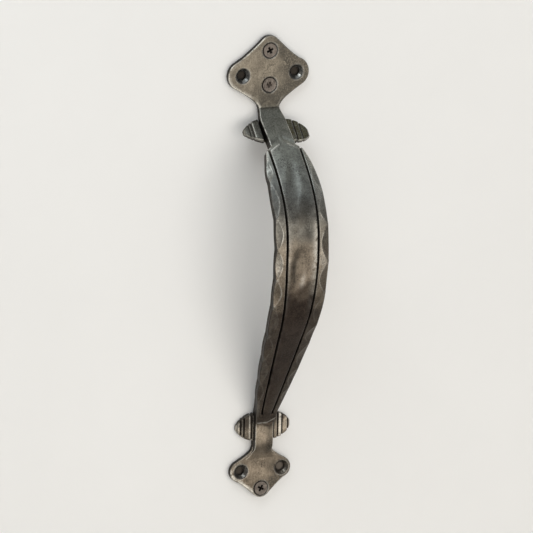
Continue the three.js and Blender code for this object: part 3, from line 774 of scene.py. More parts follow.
def fixing_plate(plate, holes, seed):
    """The front, the side wall, a countersink for each hole, and the back over their last rings.
    holes lists x, z, the mouth's radius, how bright the glint in the cone is and how grey it is."""
    outline = inset(plate_outline(plate, SPACING), 0.025)
    surface = Surface()
    loops, front = front_face(surface, plate, outline, holes, seed)
    ring, drawn_in = loops[0], inset(outline, 0.1)
    # The side wall's rub falls to 0, so it keeps the dark scale, which also stands as painted shade there.
    for depth, rub in zip(np.linspace(PLATE - ROUND - 0.2, 0.0, 6), (0.35, 0.1, 0, 0, 0, 0)):
        ring = surface.bridge(ring, surface.add(outline if depth > 0 else drawn_in, depth, rub), True)
    last = [ring] + [countersink(surface, lip, *hole) for lip, hole in zip(loops[6::3], holes)]
    numbers = np.concatenate(last)
    spans = np.split(np.arange(len(numbers)), np.cumsum([len(ring) for ring in last])[:-1])
    throats = [(x, z, THROAT) for x, z, *_ in holes]
    rear = numbers[join_flat(surface.table[numbers][:, [0, 2]], spans, outline, throats)]
    x, _, z, rub, edge, cone = surface.table.T
    piece = shell(plate["name"], surface.table[:, :3], np.vstack(surface.quads),
                  np.vstack([facing(surface, front, -1), facing(surface, rear, 1)]),
                  {"rub": rub, "edge": edge, "cone": cone,
                   "dirt_and_shade": darkening_on_plate(plate, x, z, seed) * (1 - cone)})
    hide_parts("handle")
    return piece


SCREW_Z, LOWER_SCREW_Z, LOWER_HOLES_Z = 9.6, -241.4, -230.4
upper_plate = fixing_plate(UPPER_PLATE, [(0, SCREW_Z, SEAT, 0, 1), (0, -SCREW_Z, SEAT, 0, 1),
                                         (16, -3.5, EMPTY, 1, 1), (-16, -3.5, EMPTY, 0.1, 1)], 11)
lower_plate = fixing_plate(LOWER_PLATE, [(0, LOWER_SCREW_Z, SEAT, 0, 1),
                                         (12.4, LOWER_HOLES_Z, EMPTY, 0.5, 0.3),
                                         (-12.4, LOWER_HOLES_Z, EMPTY, 0, 0.8)], 23)

# %% [markdown]
# The wings are beaded tongues forged out of the bar's sides. A wing is a half oval that thins towards its
# tip, and each bead rises slowly to a crest and drops into the groove of the next, and a painted highlight
# runs along every crest. No two of the four were filed alike, so each has its own beads. root and tip are its
# heights, roundness and blunt the form of its oval, droop how far its tip sags, and deep_root the cut at its
# root. A shine gives, for a bead, the share of its width at which the painted highlight runs, how bright the
# line is, and how bright the rest of the bead is. Each bead is also darkened by its own share, partly the
# wing's own dark olive scale and partly painted shade on faces that tilt up.

# %% The beads of a wing
UPPER = dict(length=15.0, root=3.4, tip=2.6, groove=1.0, root_step=1.3, tip_shine=0.4)
LOWER = dict(length=15.8, root=3.8, tip=2.6, groove=1.7, root_step=0.7, tip_shine=1.0, roundness=1.9,
             blunt=0.14, droop=0.0)
UPPER_RIGHT = dict(UPPER, beads=(4.4, 3.4, 4.9), shines=((0.87, 0.25, 0), (0.87, 0.15, 0), (0.87, 0.5, 0)),
                   roundness=2.3, blunt=0.2, droop=2.5, soot=(1.0, 1.0, 1.0), deep_root=2.2)
UPPER_LEFT = dict(UPPER, beads=(5.7, 1.7, 3.5), shines=((0.87, 0.8, 0), (0.87, 0.3, 0), (0.87, 0.5, 0.1)),
                  roundness=1.25, blunt=0.14, droop=0.4, soot=(0.86, 0.84, 0.94), deep_root=2.9)
LOWER_RIGHT = dict(LOWER, beads=(2.6, 2.8, 3.8, 1.9), soot=(0.6, 0, 0.2, 0.2), deep_root=2.4,
                   shines=((0.87, 0.2, 0), (0.6, 0.9, 0.8), (0.87, 0.5, 0.1), (0.5, 0.3, 0.3)))
LOWER_LEFT = dict(LOWER, beads=(1.7, 4.9, 1.6, 2.9), soot=(0.2, 0.79, 0.3, 0.4), deep_root=2.6,
                  shines=((0.6, 0.7, 0.4), (0.33, 0.75, 0), (0.6, 0.7, 0.2), (0.5, 0.3, 0.4)))
UNDER = 8
DRIFT_X = 0.9
LOWER_WINGS_Z = -205.1


def beaded_line(shape):
    """A wing from its root outwards: height, half length and marks at each place. The height falls
    evenly, less the grooves, which are steep powers of the share of a bead. The half length is an
    oval's: one less a power of the share of the reach, to the power 0.6."""
    beads, groove = np.array(shape["beads"]), shape["groove"]
    reach = beads.sum()
    borders = np.concatenate([[0], np.cumsum(beads)])
    shares = np.linspace(0, 1, 22)[:-1]
    outs = [lerp(a, b, shares) for a, b in zip(borders[:-1], borders[1:])]
    out = np.concatenate([np.linspace(-3.0, -0.05, 6), *outs, [reach]])
    bead = np.clip(np.searchsorted(borders, out, side="right") - 1, 0, len(beads) - 1)
    share = np.clip((out - borders[bead]) / (borders[bead + 1] - borders[bead]), 0, 1)
    slot = np.clip((0.25 + 0.35 * groove) / beads, 0.1, 0.36)[bead]
    valley = np.clip(1 - share / slot, 0, 1) ** 0.9 + np.clip((share - 0.9) / 0.1, 0, 1) ** 1.3
    climb = 0.3 * (1 - np.clip(share / 0.82, 0, 1)) * (share > slot)
    end = np.clip((out - reach + 1.6) / 1.6, 0, 1)
    far = np.clip(out, 0, None) / reach
    top = lerp(shape["root"], shape["tip"], out / reach) - groove * np.clip(valley + climb, 0, 1)
    top = top - (shape["deep_root"] - groove) * (1 - smooth(out, 0.1, shape["root_step"])) * (out >= 0)
    top = np.where(out < 0, shape["root"] - shape["deep_root"], top) * (1 - 0.55 * end**2)
    half = shape["length"] / 2 * np.maximum(shape["blunt"], 1 - far ** shape["roundness"]) ** 0.6
    half = half * (1 - 0.10 * np.clip(valley, 0, 1)) * (1 - 0.45 * end**2)
    # Painted highlights: a line along each crest, the bead's face, and the border at the tip.
    place, bright, plain = np.array(shape["shines"])[bead].T
    crest = np.exp(-((share - place) * beads[bead] / 0.3) ** 2) * bright
    plain = plain * smooth(share, slot, slot + 0.12) * (1 - smooth(share, 0.88, 0.95))
    rim = np.maximum(np.maximum(crest, plain) * (out > 0), shape["tip_shine"] * end * (out < reach))
    lines = dict(out=out, top=top, half=half, far=far, rim=rim, valley=valley,
                 soot=np.array(shape["soot"])[bead])
    return SimpleNamespace(reach=reach, **{name: value[:, None] for name, value in lines.items()})


# %% [markdown]
# With the line known, a wing is a row of arches across it. The rings start three millimetres
# inside the bar, so that no gap shows at the root however the wing leans.

# %% The four wings
def wing_rings(shape, start, side):
    """Rings across a wing that lies on the wall's plane and reaches out along x. Each ring is an
    arch, the root of one less a seventh power, over the oval's length there, with a flat underside
    that stays clear of the strap's."""
    w = beaded_line(shape)
    across = np.linspace(-1, 1, 41)
    profile = (1 - np.abs(across) ** 7) ** 0.5
    along = w.half * np.sin(across * np.pi / 2)
    lift = w.top * (0.25 + 0.75 * profile)
    lift = lift + 0.05 * ripple(w.out + 0 * along, along, 2.5, int(w.reach * 10) + side) * profile
    along = np.hstack([along, w.half * np.linspace(1, -1, UNDER)]) - shape["droop"] * w.far**2
    lift = np.hstack([lift, np.full((len(w.out), UNDER), 0.15) * smooth(-w.out, 0, 0.6)])
    rings = np.stack([np.broadcast_to(side * (start + w.out), along.shape), -lift, along], axis=-1)
    over = lambda values: np.concatenate([values, np.zeros(UNDER)])[None, :]
    rub = np.clip(1 - w.valley * 1.4, 0, 1) * over(0.35 + 0.65 * profile)
    # Painted highlights along the wing's two borders, strongest on the lower one; the bead's darkening is
    # partly painted shade.
    ends = 0.3 * over(np.exp(-((np.abs(across) - 0.9) / 0.07) ** 2) * 0.6)
    lower_end = over(np.exp(-((across + 0.9) / 0.08) ** 2))
    edge = np.maximum(w.rim * over(profile), np.maximum(ends, lower_end) * (w.out > 0))
    dirt_and_shade = w.soot * (1 - w.rim * over(profile)) * np.ones_like(rub)
    return rings, {"rub": rub, "edge": edge, "dirt_and_shade": dirt_and_shade}


def wing(name, shape, start, side, tilt, slope, depth, z):
    """One wing, tilted in its own plane, leaned with the bar and moved to its place on it."""
    rings, marks = wing_rings(shape, start, side)
    x, y, w = np.moveaxis(rings, -1, 0)
    t, s = math.radians(tilt), -math.radians(slope)
    x, w = x * math.cos(t) + w * math.sin(t), w * math.cos(t) - x * math.sin(t)
    y, w = y * math.cos(s) - w * math.sin(s), y * math.sin(s) + w * math.cos(s)
    piece = ring_stack(name, np.stack([x, y - depth, w + z], axis=-1), marks)
    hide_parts("handle")
    return piece


wings = [wing("upper_wing_right", UPPER_RIGHT, NECK_HALF, 1, 3, 50, 9.2, -35.2),
         wing("upper_wing_left", UPPER_LEFT, NECK_HALF, -1, 3, 50, 9.2, -34.6),
         wing("lower_wing_right", LOWER_RIGHT, STRAP_HALF + DRIFT_X, 1, 0, 0, 0, LOWER_WINGS_Z),
         wing("lower_wing_left", LOWER_LEFT, STRAP_HALF - DRIFT_X, -1, 0, 0, 0, LOWER_WINGS_Z)]

# %% [markdown]
# A countersunk wood screw is turned about its axis: a nearly flat head, a cone, and a shank whose
# thread is a ridge that climbs one pitch in each turn. The cross recess isn't cut out of it, it is
# the depth of the head's face at each point of a polar grid. Wear fills the recess of one screw.

# %% The profile and the recess of a screw
FACE = SINK - PLATE + 0.12
CONE_END = FACE + (HEAD_RADIUS - SHANK_RADIUS) / CONE
CORE, PITCH = 1.75, 1.9


def screw_profile():
    """Radius and depth of each ring: the face, a quarter round rim, the cone, the shank, and a point
    that thins by one less the power 1.5 of the share of its length."""
    head = np.linspace(0.04, 1, 44) * (HEAD_RADIUS - 0.45)
    rim = np.linspace(0, np.pi / 2, 7)[1:]
    shank = np.linspace(CONE_END, FACE + 20.0, 110)[1:]
    point = np.linspace(FACE + 20.0, FACE + 24.85, 30)[1:]
    level = np.concatenate([FACE + 0 * head, FACE + 0.3 * (1 - np.cos(rim))])
    radius = np.concatenate([head, HEAD_RADIUS - 0.45 + 0.45 * np.sin(rim),
                             np.linspace(HEAD_RADIUS, CORE, 12)[1:], CORE + 0 * shank,
                             CORE * np.clip(1 - ((point - point[0]) / 5.0) ** 1.5, 0.03, 1)])
    level = np.concatenate([level, np.linspace(level[-1], CONE_END, 12)[1:], shank, point])
    return radius[:, None], level[:, None]


def cross_recess(u, v, wear, seed):
    """1 in the recess and 0 outside it: the larger of two bars, each the product of a smooth step
    across its arm and another along its span."""
    arm = 0.53 * (1 + 0.12 * ripple(u, v, 2, seed))
    span = 1.95 - wear * 0.35
    bars = [smooth(arm - np.abs(a), -0.1, 0.1) * smooth(span - np.abs(b), -0.15, 0.35)
            for a, b in ((u, v), (v, u))]
    return np.maximum(*bars)


# %% [markdown]
# The three screws stand at different angles, as a hand leaves them, and each keeps its own dents.

# %% The three screws
def screw(node, z, turn, wear, seed):
    """The profile turned about its axis, with the thread on its shank and the recess in its face,
    which is deepest in the middle and falls off evenly."""
    radius, level = screw_profile()
    around = np.linspace(0, 2 * np.pi, 160, endpoint=False)[None, :]
    climb = np.abs(((level - CONE_END) / PITCH - around / (2 * np.pi)) % 1 - 0.5) * 2
    thread = 0.34 * np.clip(1 - climb * 2.6, 0, 1) * smooth(level, CONE_END + 1, CONE_END + 4)
    wide = radius + thread * np.clip(radius / CORE, 0, 1) * (level > CONE_END)
    u = wide * np.cos(around - math.radians(turn))
    v = wide * np.sin(around - math.radians(turn))
    cross, from_middle, on_face = cross_recess(u, v, wear, seed), np.hypot(u, v), level < FACE + 0.01
    depth = 2.0 * np.clip(1.05 - from_middle / 2.6, 0, 1) * (1 - 0.75 * wear)
    dent = cross * depth + 0.05 * (1 + ripple(u, v, 1.6, seed + 1)) * (1 + 2 * wear)
    rings = np.stack([wide * np.cos(around), level + dent * on_face, z + wide * np.sin(around)], axis=-1)
    # The head's edge is left black, a painted shade ring round the head, and the edge mark on one side of its
    # rim is a painted highlight.
    bare = (1 - cross * (1 - 0.5 * wear)) * smooth(HEAD_RADIUS - wide, 0.1, 0.45)
    outer = np.exp(-((wide - HEAD_RADIUS + 0.5) / 0.16) ** 2) * (level < FACE + 0.1)
    marks = {"rub": np.where(level < FACE + 0.3, bare, 0.0),
             "edge": (0.6 + 0.5 * wear) * outer * smooth(np.cos(around + 0.7) + 0 * wide, 0.0, 0.8),
             "dirt_and_shade": wear * smooth(2.6 - from_middle, 0, 1.2) * on_face}
    piece = ring_stack("screw_" + node, rings, marks)
    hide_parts(node)
    return piece


screws = [screw("upper_top_screw", SCREW_Z, 25, 0.0, 31), screw("upper_centre_screw", -SCREW_Z, -14, 0.9, 37),
          screw("lower_screw", LOWER_SCREW_Z, -27, 0.0, 41)]

# %% [markdown]
# A material is a tree of nodes, and most of its sums are Math nodes. Written out one by one they
# hide what is meant. So a small class stands for a node's output, and adding or multiplying two
# of them makes the Math node.

# %% Signals
class Signal:
    """A value or colour that changes over a surface: the output of a node."""

    def __init__(self, socket):
        self.socket, self.tree = socket, socket.id_data

    def __add__(self, other):
        return maths("ADD", self, other)

    def __sub__(self, other):
        return maths("SUBTRACT", self, other)

    def __mul__(self, other):
        return maths("MULTIPLY", self, other)

    def __rsub__(self, other):
        return maths("SUBTRACT", other, self)

    def __rtruediv__(self, other):
        return maths("DIVIDE", other, self)

    __radd__, __rmul__ = __add__, __mul__


def add_node(tree, kind, values=(), **settings):
    """A node with its settings, whose inputs are numbers, colours or signals."""
    node = tree.nodes.new(kind)
    for name, value in settings.items():
        setattr(node, name, value)
    for name, value in dict(values).items():
        if isinstance(value, Signal):
            tree.links.new(value.socket, node.inputs[name])
        else:
            node.inputs[name].default_value = value
    return node


def signal(tree, kind, output, values=(), **settings):
    """One output of a new node."""
    return Signal(add_node(tree, kind, values, **settings).outputs[output])


def tree_of(*values):
    """The tree of the first signal among some values."""
    return next(value.tree for value in values if isinstance(value, Signal))


# %% [markdown]
# These helpers each make one kind of node. A value that they get may be a plain number, which is
# set on the input, or a signal, which is linked to it.

# %% Node helpers
def maths(operation, a, b=0.0):
    """One Math node on signals or numbers."""
    return signal(tree_of(a, b), "ShaderNodeMath", 0, {0: a, 1: b}, operation=operation)


def noise(place, scale, detail=3.0, rough=0.55, twist=0.0):
    """A noise from 0 to 1 at a place."""
    return signal(place.tree, "ShaderNodeTexNoise", "Fac", {"Vector": place, "Scale": scale, "Detail": detail,
                                                            "Roughness": rough, "Distortion": twist})


def between(value, low, high):
    """0 below low, 1 above high, smooth between them."""
    return signal(value.tree, "ShaderNodeMapRange", "Result", {
        "Value": value, "From Min": low, "From Max": high}, interpolation_type="SMOOTHSTEP")


def blend(share, a, b, mode="MIX"):
    """One colour into another by a share."""
    return signal(tree_of(share, a, b), "ShaderNodeMix", 2, {0: share, 6: a, 7: b},
                  data_type="RGBA", blend_type=mode)


def rgb(red, green, blue):
    """An opaque colour."""
    return (red, green, blue, 1.0)


def mark(tree, name):
    """One of the numbers kept on the mesh's points."""
    return signal(tree, "ShaderNodeAttribute", "Fac", attribute_name=name, attribute_type="GEOMETRY")


def own_place(tree):
    """Where a point is in the object's own coordinates, in metres."""
    return signal(tree, "ShaderNodeTexCoord", "Object")


def blank_material(name):
    """A material with an empty tree."""
    material = bpy.data.materials.new(name)
    material.use_nodes = True
    material.node_tree.nodes.clear()
    return material, material.node_tree


# %% [markdown]
# The finishes share a few effects, so each effect is a node group made once and placed in each
# material with its own size: a mottle, pits and scratches. A group puts out only masks and
# heights, and the shader stays in the material.
#
# Bare iron is never one grey. Heat and handling leave clouds a few millimetres across, and inside
# them a grain of light and dark specks. Two noises of different scale, added together, give both,
# and a twist in the larger one makes the clouds look wiped rather than round.

# %% Mottle, pits and scratches
def mottle_nodes(size, place):
    """The mean of a cloud noise and one seven times finer, and the finer one by itself."""
    density = 1.0 / size
    clouds, grain = noise(place, density, 4.0, 0.6, 0.6), noise(place, density * 7.0, 3.0, 0.7)
    return {"Mask": between(clouds * 0.5 + grain * 0.5, 0.36, 0.64), "Grain": between(grain, 0.3, 0.72)}


def pit_nodes(size, place):
    """A pit is the middle of a Voronoi cell, wide where a slow noise is high and gone where it is low."""
    cell = signal(place.tree, "ShaderNodeTexVoronoi", "Distance", {
        "Vector": place, "Scale": 1.0 / size, "Randomness": 1.0}, feature="F1")
    reach = between(noise(place, 0.12 / size, 3.0, 0.6), 0.45, 0.7) * 0.42
    pit = between(reach - cell, -0.06, 0.1)
    return {"Mask": pit, "Height": 1.0 - pit}


def scratch_nodes(size, place):
    """The peaks of a noise drawn out twenty times along a direction, the largest of three directions."""
    masks = []
    for turn, scale in ((0.35, 1.0), (-0.6, 1.3), (1.35, 0.8)):
        turned = signal(place.tree, "ShaderNodeMapping", "Vector", {
            "Vector": place, "Rotation": (0.0, turn, 0.0), "Scale": (scale * 14, scale * 14, scale * 0.7)})
        masks.append(between(noise(turned, 0.1 / size, 2.0, 0.5), 0.62, 0.7))
    scratch = maths("MAXIMUM", maths("MAXIMUM", masks[0], masks[1]), masks[2])
    return {"Mask": scratch, "Height": 1.0 - scratch}


# %% [markdown]
# A group is a tree of its own with one number to set, the size of the effect in metres. It is
# built once, and a material places it as a single node.

# %% The shared groups
def group(name, given, outputs, build):
    """A node group with one number to set, named outputs, and the nodes that build makes."""
    tree = bpy.data.node_groups.new(name, "ShaderNodeTree")
    tree.interface.new_socket(given, in_out="INPUT", socket_type="NodeSocketFloat").default_value = 0.001
    for label in outputs:
        tree.interface.new_socket(label, in_out="OUTPUT", socket_type="NodeSocketFloat")
    add_node(tree, "NodeGroupOutput", build(signal(tree, "NodeGroupInput", given), own_place(tree)))
    return tree


def placed(tree, shared, size):
    """A shared group placed in a material with its own size. Gives its outputs by name."""
    node = add_node(tree, "ShaderNodeGroup", {0: size}, node_tree=shared)
    return {socket.name: Signal(socket) for socket in node.outputs}


mottle = group("Iron mottle", "Cloud size", ("Mask", "Grain"), mottle_nodes)
pits = group("Forge pits", "Pit size", ("Mask", "Height"), pit_nodes)
scratches = group("Wiping scratches", "Width", ("Mask", "Height"), scratch_nodes)
print("groups:", [tree.name for tree in (mottle, pits, scratches)])

# %% [markdown]
# The iron's colour changes in zones down its height: warm on the plates and again at the peak, whose faces
# look straight out at the warm front light, cool on the neck and upper grip, which look up at the cool light
# above, and nearly black down the lower grip, which looks down. The zones are partly the iron's own tone and
# partly painted reflection and shade. A colour ramp on the height gives the zones, and the height is bent
# first, so that their borders waver, the cool zone hangs down in a tongue, and the side bands darken lower
# down than the centre.

# %% Zones of tone and painted shade along the height
TONES_AND_SHADE = [(-245, (0.160, 0.131, 0.098)), (-225, (0.175, 0.142, 0.107)), (-216, (0.165, 0.135, 0.103)),
         (-205, (0.245, 0.204, 0.156)), (-201, (0.048, 0.037, 0.028)), (-165, (0.038, 0.028, 0.022)),
         (-121, (0.039, 0.028, 0.022)), (-112, (0.115, 0.092, 0.070)), (-96, (0.150, 0.124, 0.096)),
         (-87, (0.138, 0.118, 0.094)), (-79, (0.110, 0.102, 0.088)), (-71, (0.150, 0.147, 0.134)),
         (-60, (0.160, 0.166, 0.158)), (-46, (0.165, 0.172, 0.156)), (-24, (0.100, 0.099, 0.085)),
         (-20.5, (0.080, 0.072, 0.058)), (-13, (0.128, 0.112, 0.089)), (2, (0.155, 0.134, 0.105)),
         (19, (0.120, 0.106, 0.085))]
LOW, HIGH = -245, 20


def height_tone_and_shade(place, band):
    """The ramp's colour, tone and painted shade, at the height, held up in the tongue, raised on the bands,
    and moved by a slow noise below the neck."""
    parts = add_node(place.tree, "ShaderNodeSeparateXYZ", {"Vector": place})
    x, z = Signal(parts.outputs["X"]), Signal(parts.outputs["Z"])
    tongue = between(maths("ABSOLUTE", x - 0.001), 0.0078, 0.003) * between(z, -0.090, -0.081)
    held_up = maths("MAXIMUM", z, -0.078) - z
    z = z + (band * between(z, -0.095, -0.112) * 0.009 + tongue * held_up)
    waver = (noise(place, 90.0, 2.0) - 0.5) * 0.022
    height = z + waver * between(z, -0.024, -0.045)
    share = signal(place.tree, "ShaderNodeMapRange", "Result", {"Value": height, "From Min": LOW * METRES,
                                                                "From Max": HIGH * METRES})
    node = add_node(place.tree, "ShaderNodeValToRGB", {"Fac": share})
    stops = node.color_ramp.elements
    while len(stops) < len(TONES_AND_SHADE):
        stops.new(0.5)
    for stop, (height, tone) in zip(stops, TONES_AND_SHADE):
        stop.position = (height - LOW) / (HIGH - LOW)
    for stop, (height, tone) in zip(stops, TONES_AND_SHADE):
        stop.color = rgb(*tone)
    return Signal(node.outputs["Color"])


# %% [markdown]
# Forged iron has a dark scale from the fire, and filing and hands rub it off the faces but not out of the
# grooves and the side walls; on the side walls that dark scale also stands as painted shade. So the finish is
# dark scale with rubbed metal over it where the rub mark is high, a dark colour for dirt and painted shade
# over that where the third mark is high, and bright metal on the burrs, and painted highlights, that the edge
# mark gives. The cone mark picks out the bare countersinks.

# %% Forged iron
def metal(tree, base, roughness, metallic, bumps, strength, distance):
    """The shader at the end of a metal: a Principled BSDF over a bump."""
    bump = add_node(tree, "ShaderNodeBump", {"Height": bumps, "Strength": strength, "Distance": distance})
    shader = signal(tree, "ShaderNodeBsdfPrincipled", "BSDF", {
        "Base Color": base, "Roughness": roughness, "Metallic": metallic,
        "Normal": Signal(bump.outputs["Normal"])})
    add_node(tree, "ShaderNodeOutputMaterial", {"Surface": shader})


def iron_finish():
    """Scale, bare metal, darkening and burrs with painted highlights, each blended over the last by its mask.
    The bare metal is its zone's tone, partly painted shade, times the mottle and the specks, with scratches
    twice as bright as the tone."""
    material, tree = blank_material("Forged iron")
    place = own_place(tree)
    clouds, small = placed(tree, mottle, 0.0055), placed(tree, pits, 0.0011)
    lines = placed(tree, scratches, 0.00045)
    rubbed, edge, dirt_and_shade, band, cone = (mark(tree, name) for name in MARKS)
    tone = height_tone_and_shade(place, band)
    tone = blend(band, tone, blend(1.0, tone, rgb(0.021, 0.019, 0.015), "ADD"))
    specks = between(noise(place, 1100.0, 3.0, 0.75), 0.3, 0.7)
    light = blend(clouds["Mask"], rgb(0.66, 0.65, 0.64), rgb(1.34, 1.34, 1.32))
    light = blend(1.0, light, blend(specks, rgb(0.84, 0.83, 0.82), rgb(1.17, 1.17, 1.16)), "MULTIPLY")
    bare = blend(1.0, tone, light, "MULTIPLY")
    bare = blend(cone, bare, blend(clouds["Grain"], rgb(0.095, 0.092, 0.085), rgb(0.16, 0.16, 0.155)))
    bare = blend(lines["Mask"] * 0.42, bare, blend(1.0, tone, rgb(2.0, 2.0, 2.0), "MULTIPLY"))
    bare = blend(small["Mask"] * 0.6, bare, rgb(0.035, 0.03, 0.025))
    # The dark colour of dirt and painted shade, olive where the mark is full.
    soot = blend(between(dirt_and_shade, 0.95, 1.0), rgb(0.044, 0.040, 0.033), rgb(0.046, 0.038, 0.015))
    bare = blend(dirt_and_shade * between(clouds["Grain"], 0.0, 0.6) * 0.92, bare, soot)
    scale = blend(clouds["Mask"], rgb(0.016, 0.013, 0.010), rgb(0.045, 0.037, 0.03))
    worn = between(rubbed + (clouds["Grain"] - 0.5) * 0.5, 0.25, 0.75)
    # The edge mark: bright burrs and painted highlights, broken by a noise.
    burr = edge * between(noise(place, 260.0, 3.0, 0.6), 0.3, 0.52)
    base = blend(burr * 0.9, blend(worn, scale, bare), blend(0.62, tone, rgb(0.72, 0.69, 0.62)))
    roughness = 0.42 - worn * 0.14 + clouds["Grain"] * 0.08 - burr * 0.12 - cone * 0.12
    bumps = small["Height"] * 0.7 + lines["Height"] * 0.25 + noise(place, 700.0, 4.0, 0.65) * 0.9
    metal(tree, base, roughness, 0.88, bumps, 0.55, 0.00009)
    return material


iron = iron_finish()
for piece in (bar, upper_plate, lower_plate, *wings):
    piece.data.materials.append(iron)
print(iron.name, "on", 3 + len(wings), "pieces,", len(iron.node_tree.nodes), "nodes")

# %% [markdown]
# Screw steel is browner and darker than the iron: an old blackened finish that is worn on the face
# and dirty in the recess. It uses the same three groups with smaller sizes.

# %% Screw steel
def steel_finish():
    """Black in the recess and on the cone, and round the head's edge as a painted shade ring, mottled brown
    steel where it is rubbed, and a painted highlight on one side of the rim.
    """
    material, tree = blank_material("Blackened screw steel")
    clouds, small = placed(tree, mottle, 0.0028), placed(tree, pits, 0.0008)
    lines = placed(tree, scratches, 0.0003)
    rubbed, edge, dirt_and_shade = (mark(tree, name) for name in MARKS[:3])
    face = blend(clouds["Mask"], rgb(0.095, 0.078, 0.066), rgb(0.20, 0.172, 0.148))
    face = blend(lines["Mask"] * 0.3, face, rgb(0.3, 0.26, 0.22))
    face = blend(dirt_and_shade * 0.35, face, rgb(0.07, 0.05, 0.035))
    base = blend(rubbed, rgb(0.018, 0.014, 0.011), face)
    base = blend(edge * clouds["Grain"] * 0.7, base, rgb(0.34, 0.3, 0.26))
    bumps = small["Height"] + lines["Height"] * 0.4
    metal(tree, base, 0.36 + clouds["Grain"] * 0.16, 0.9, bumps, 0.5, 0.00006)
    return material


steel = steel_finish()
for piece in screws:
    piece.data.materials.append(steel)
print(steel.name, "on", len(screws), "screws")

# %% [markdown]
# The handle hangs on a plain pale wall, so that its shadow falls on something as in a room, with a pale floor
# below. Neither is part of the object. The wall has openings under the plates, the strap and the lower wings,
# a little smaller than the iron that covers them, so that a lamp behind it reaches the back of the handle.
# Behind each empty hole lies a dark disc of painted shade, so that the hole stays dark where the lit wall
# would show through. Seen from behind, the wall and the discs are clear.

# %% Plain surfaces round the handle
BEHIND = 0.6


def pale(name, colour):
    """A matt surface with slow clouds of one and a half percent, clear from behind."""
    material, tree = blank_material(name)
    soft = between(noise(own_place(tree), 9.0, 4.0), 0.3, 0.7)
    tone = blend(soft, rgb(*(v * 0.985 for v in colour)), rgb(*colour))
    matt = signal(tree, "ShaderNodeBsdfDiffuse", 0, {"Color": tone})
    clear = signal(tree, "ShaderNodeBsdfTransparent", 0)
    behind = signal(tree, "ShaderNodeNewGeometry", "Backfacing")
    both = signal(tree, "ShaderNodeMixShader", 0, {0: behind, 1: matt, 2: clear})
    add_node(tree, "ShaderNodeOutputMaterial", {"Surface": both})
    return material


def sheet_of(name, corners, faces, material):
    """A flat staged surface from its corners in millimetres."""
    mesh = bpy.data.meshes.new(name)
    mesh.from_pydata(np.asarray(corners) * METRES, [], faces)
    mesh.materials.append(material)
    panel = bpy.data.objects.new(name, mesh)
    bpy.context.collection.objects.link(panel)


def on_wall(flat):
    """Points of the wall's plane from their x and z."""
    return np.stack([flat[:, 0], np.full(len(flat), BEHIND), flat[:, 1]], axis=1)


# %% [markdown]
# The openings are the outlines of the iron itself, drawn half a millimetre in, so the plates'
# functions give them. The same Delaunay helper as for the plates then makes the wall.

# %% Wall, floor and sky
DOWN, UP, WIDE, NEAR = -750.0, 1200.0, 1500.0, -2500.0
DISC = 2.9
# The third value is the grey of the painted shade disc behind each empty hole.
EMPTY_HOLES = [(16, -3.5, 0.06), (-16, -3.5, 0.05),
               (12.4, LOWER_HOLES_Z, 0.17), (-12.4, LOWER_HOLES_Z, 0.075)]


def wing_opening(side):
    """A loop a little inside the foot of a lower wing, half a millimetre clear of the strap."""
    out = np.linspace(0.5, 9.6, 8)
    half = 6.9 * (1 - (out / 11.1) ** 1.9) ** 0.6
    loop = np.concatenate([np.stack([out, half], axis=1), np.stack([out, -half], axis=1)[::-1]])
    return loop * [side, 1] + [side * STRAP_HALF + DRIFT_X, LOWER_WINGS_Z]


def wall_with_openings():
    """Corners and triangles of the wall: the loops are joined, and what lies in an opening goes."""
    strap = np.array([[-4.9, -214.2], [4.9, -214.2], [4.9, -203.5], [-4.9, -203.5]])
    border = np.array([[-WIDE, DOWN], [WIDE, DOWN], [WIDE, UP], [-WIDE, UP]])
    openings = [inset(plate_outline(UPPER_PLATE, 1.2), 0.5), inset(plate_outline(LOWER_PLATE, 1.2), 0.5),
                strap, wing_opening(1), wing_opening(-1)]
    points = np.vstack([border, *openings])
    loops = np.split(np.arange(len(points)), np.cumsum([len(loop) for loop in [border, *openings]])[:-1])
    triangles = join_flat(points, loops, border, [])
    for loop in openings:
        triangles = triangles[~inside(points[triangles].mean(axis=1), loop)]
    (ax, az), (bx, bz), (cx, cz) = points[triangles].transpose(1, 2, 0)
    clockwise = (bx - ax) * (cz - az) - (bz - az) * (cx - ax) < 0
    triangles[clockwise] = triangles[clockwise][:, ::-1]
    return on_wall(points), triangles.tolist()


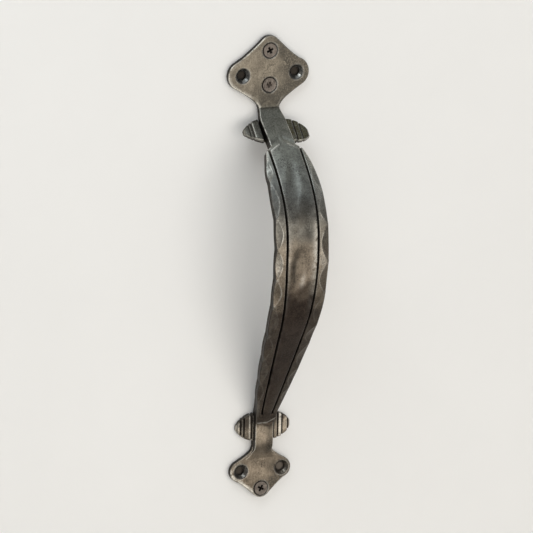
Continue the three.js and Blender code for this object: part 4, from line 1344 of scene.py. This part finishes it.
sheet_of("wall", *wall_with_openings(), pale("Pale wall", (0.90, 0.885, 0.86)))
for k, (x, z, tone) in enumerate(EMPTY_HOLES):
    sheet_of(f"shade_disc_behind_hole_{k + 1}", on_wall(circle(x, z, DISC)), [tuple(range(AROUND))],
             pale(f"Painted hole shade {k + 1}", (tone, tone * 0.85, tone * 0.7)))
sheet_of("floor", [(-WIDE, BEHIND, DOWN), (-WIDE, NEAR, DOWN), (WIDE, NEAR, DOWN), (WIDE, BEHIND, DOWN)],
         [(0, 1, 2, 3)], pale("Pale floor", (0.76, 0.75, 0.73)))
world = bpy.data.worlds.new("Plain sky")
world.use_nodes = True
world.node_tree.nodes["Background"].inputs["Color"].default_value = rgb(0.34, 0.34, 0.34)
bpy.context.scene.world = world
print("wall, floor and", len(EMPTY_HOLES), "dark discs behind the empty holes")

# %% [markdown]
# Light for dark metal is something for it to mirror. A big soft panel stands in front and a little
# to the right, where the flat faces look. A small cooler one at the upper left puts the glint in
# the countersinks, a small warm one at the lower left lights the left edges, and a cooler one
# hangs above for the neck. Little comes from below, so the underside of the bow stays dark. A
# large one behind the wall shows the back.

# %% Lamps
def lamp(name, where, wide, high, glow, colour):
    """A flat soft lamp in metres that looks at the middle of the handle. glow is how bright its face
    is, and its watts are that times its area and pi."""
    data = bpy.data.lights.new(name, "AREA")
    data.shape, data.size, data.size_y = "RECTANGLE", wide, high
    data.energy, data.color = glow * wide * high * math.pi, colour
    panel = bpy.data.objects.new(name, data)
    panel.location = where
    panel.rotation_euler = (Vector(where) - aim).to_track_quat("Z", "Y").to_euler()
    bpy.context.collection.objects.link(panel)
    print(name, round(data.energy, 1), "W")


lamp("front_panel", (0.08, -1.5, -0.3), 2.1, 1.35, 1.75, (1.0, 0.97, 0.92))
lamp("upper_left_panel", (-0.58, -0.49, 0.93), 0.6, 0.6, 3.6, (0.86, 0.94, 1.0))
lamp("lower_left_panel", (-0.30, -0.86, -0.90), 0.5, 0.32, 3.0, (1.0, 0.97, 0.93))
lamp("top_panel", (0.1, -0.35, 1.2), 0.8, 0.8, 1.3, (0.88, 0.95, 1.0))
lamp("back_panel", (0.4, 1.5, -0.2), 2.4, 1.6, 1.2, (1.0, 0.99, 0.97))

# %% [markdown]
# The Standard view shows a colour about as it is written.

# %% Settings
bpy.context.scene.view_settings.view_transform = "Standard"
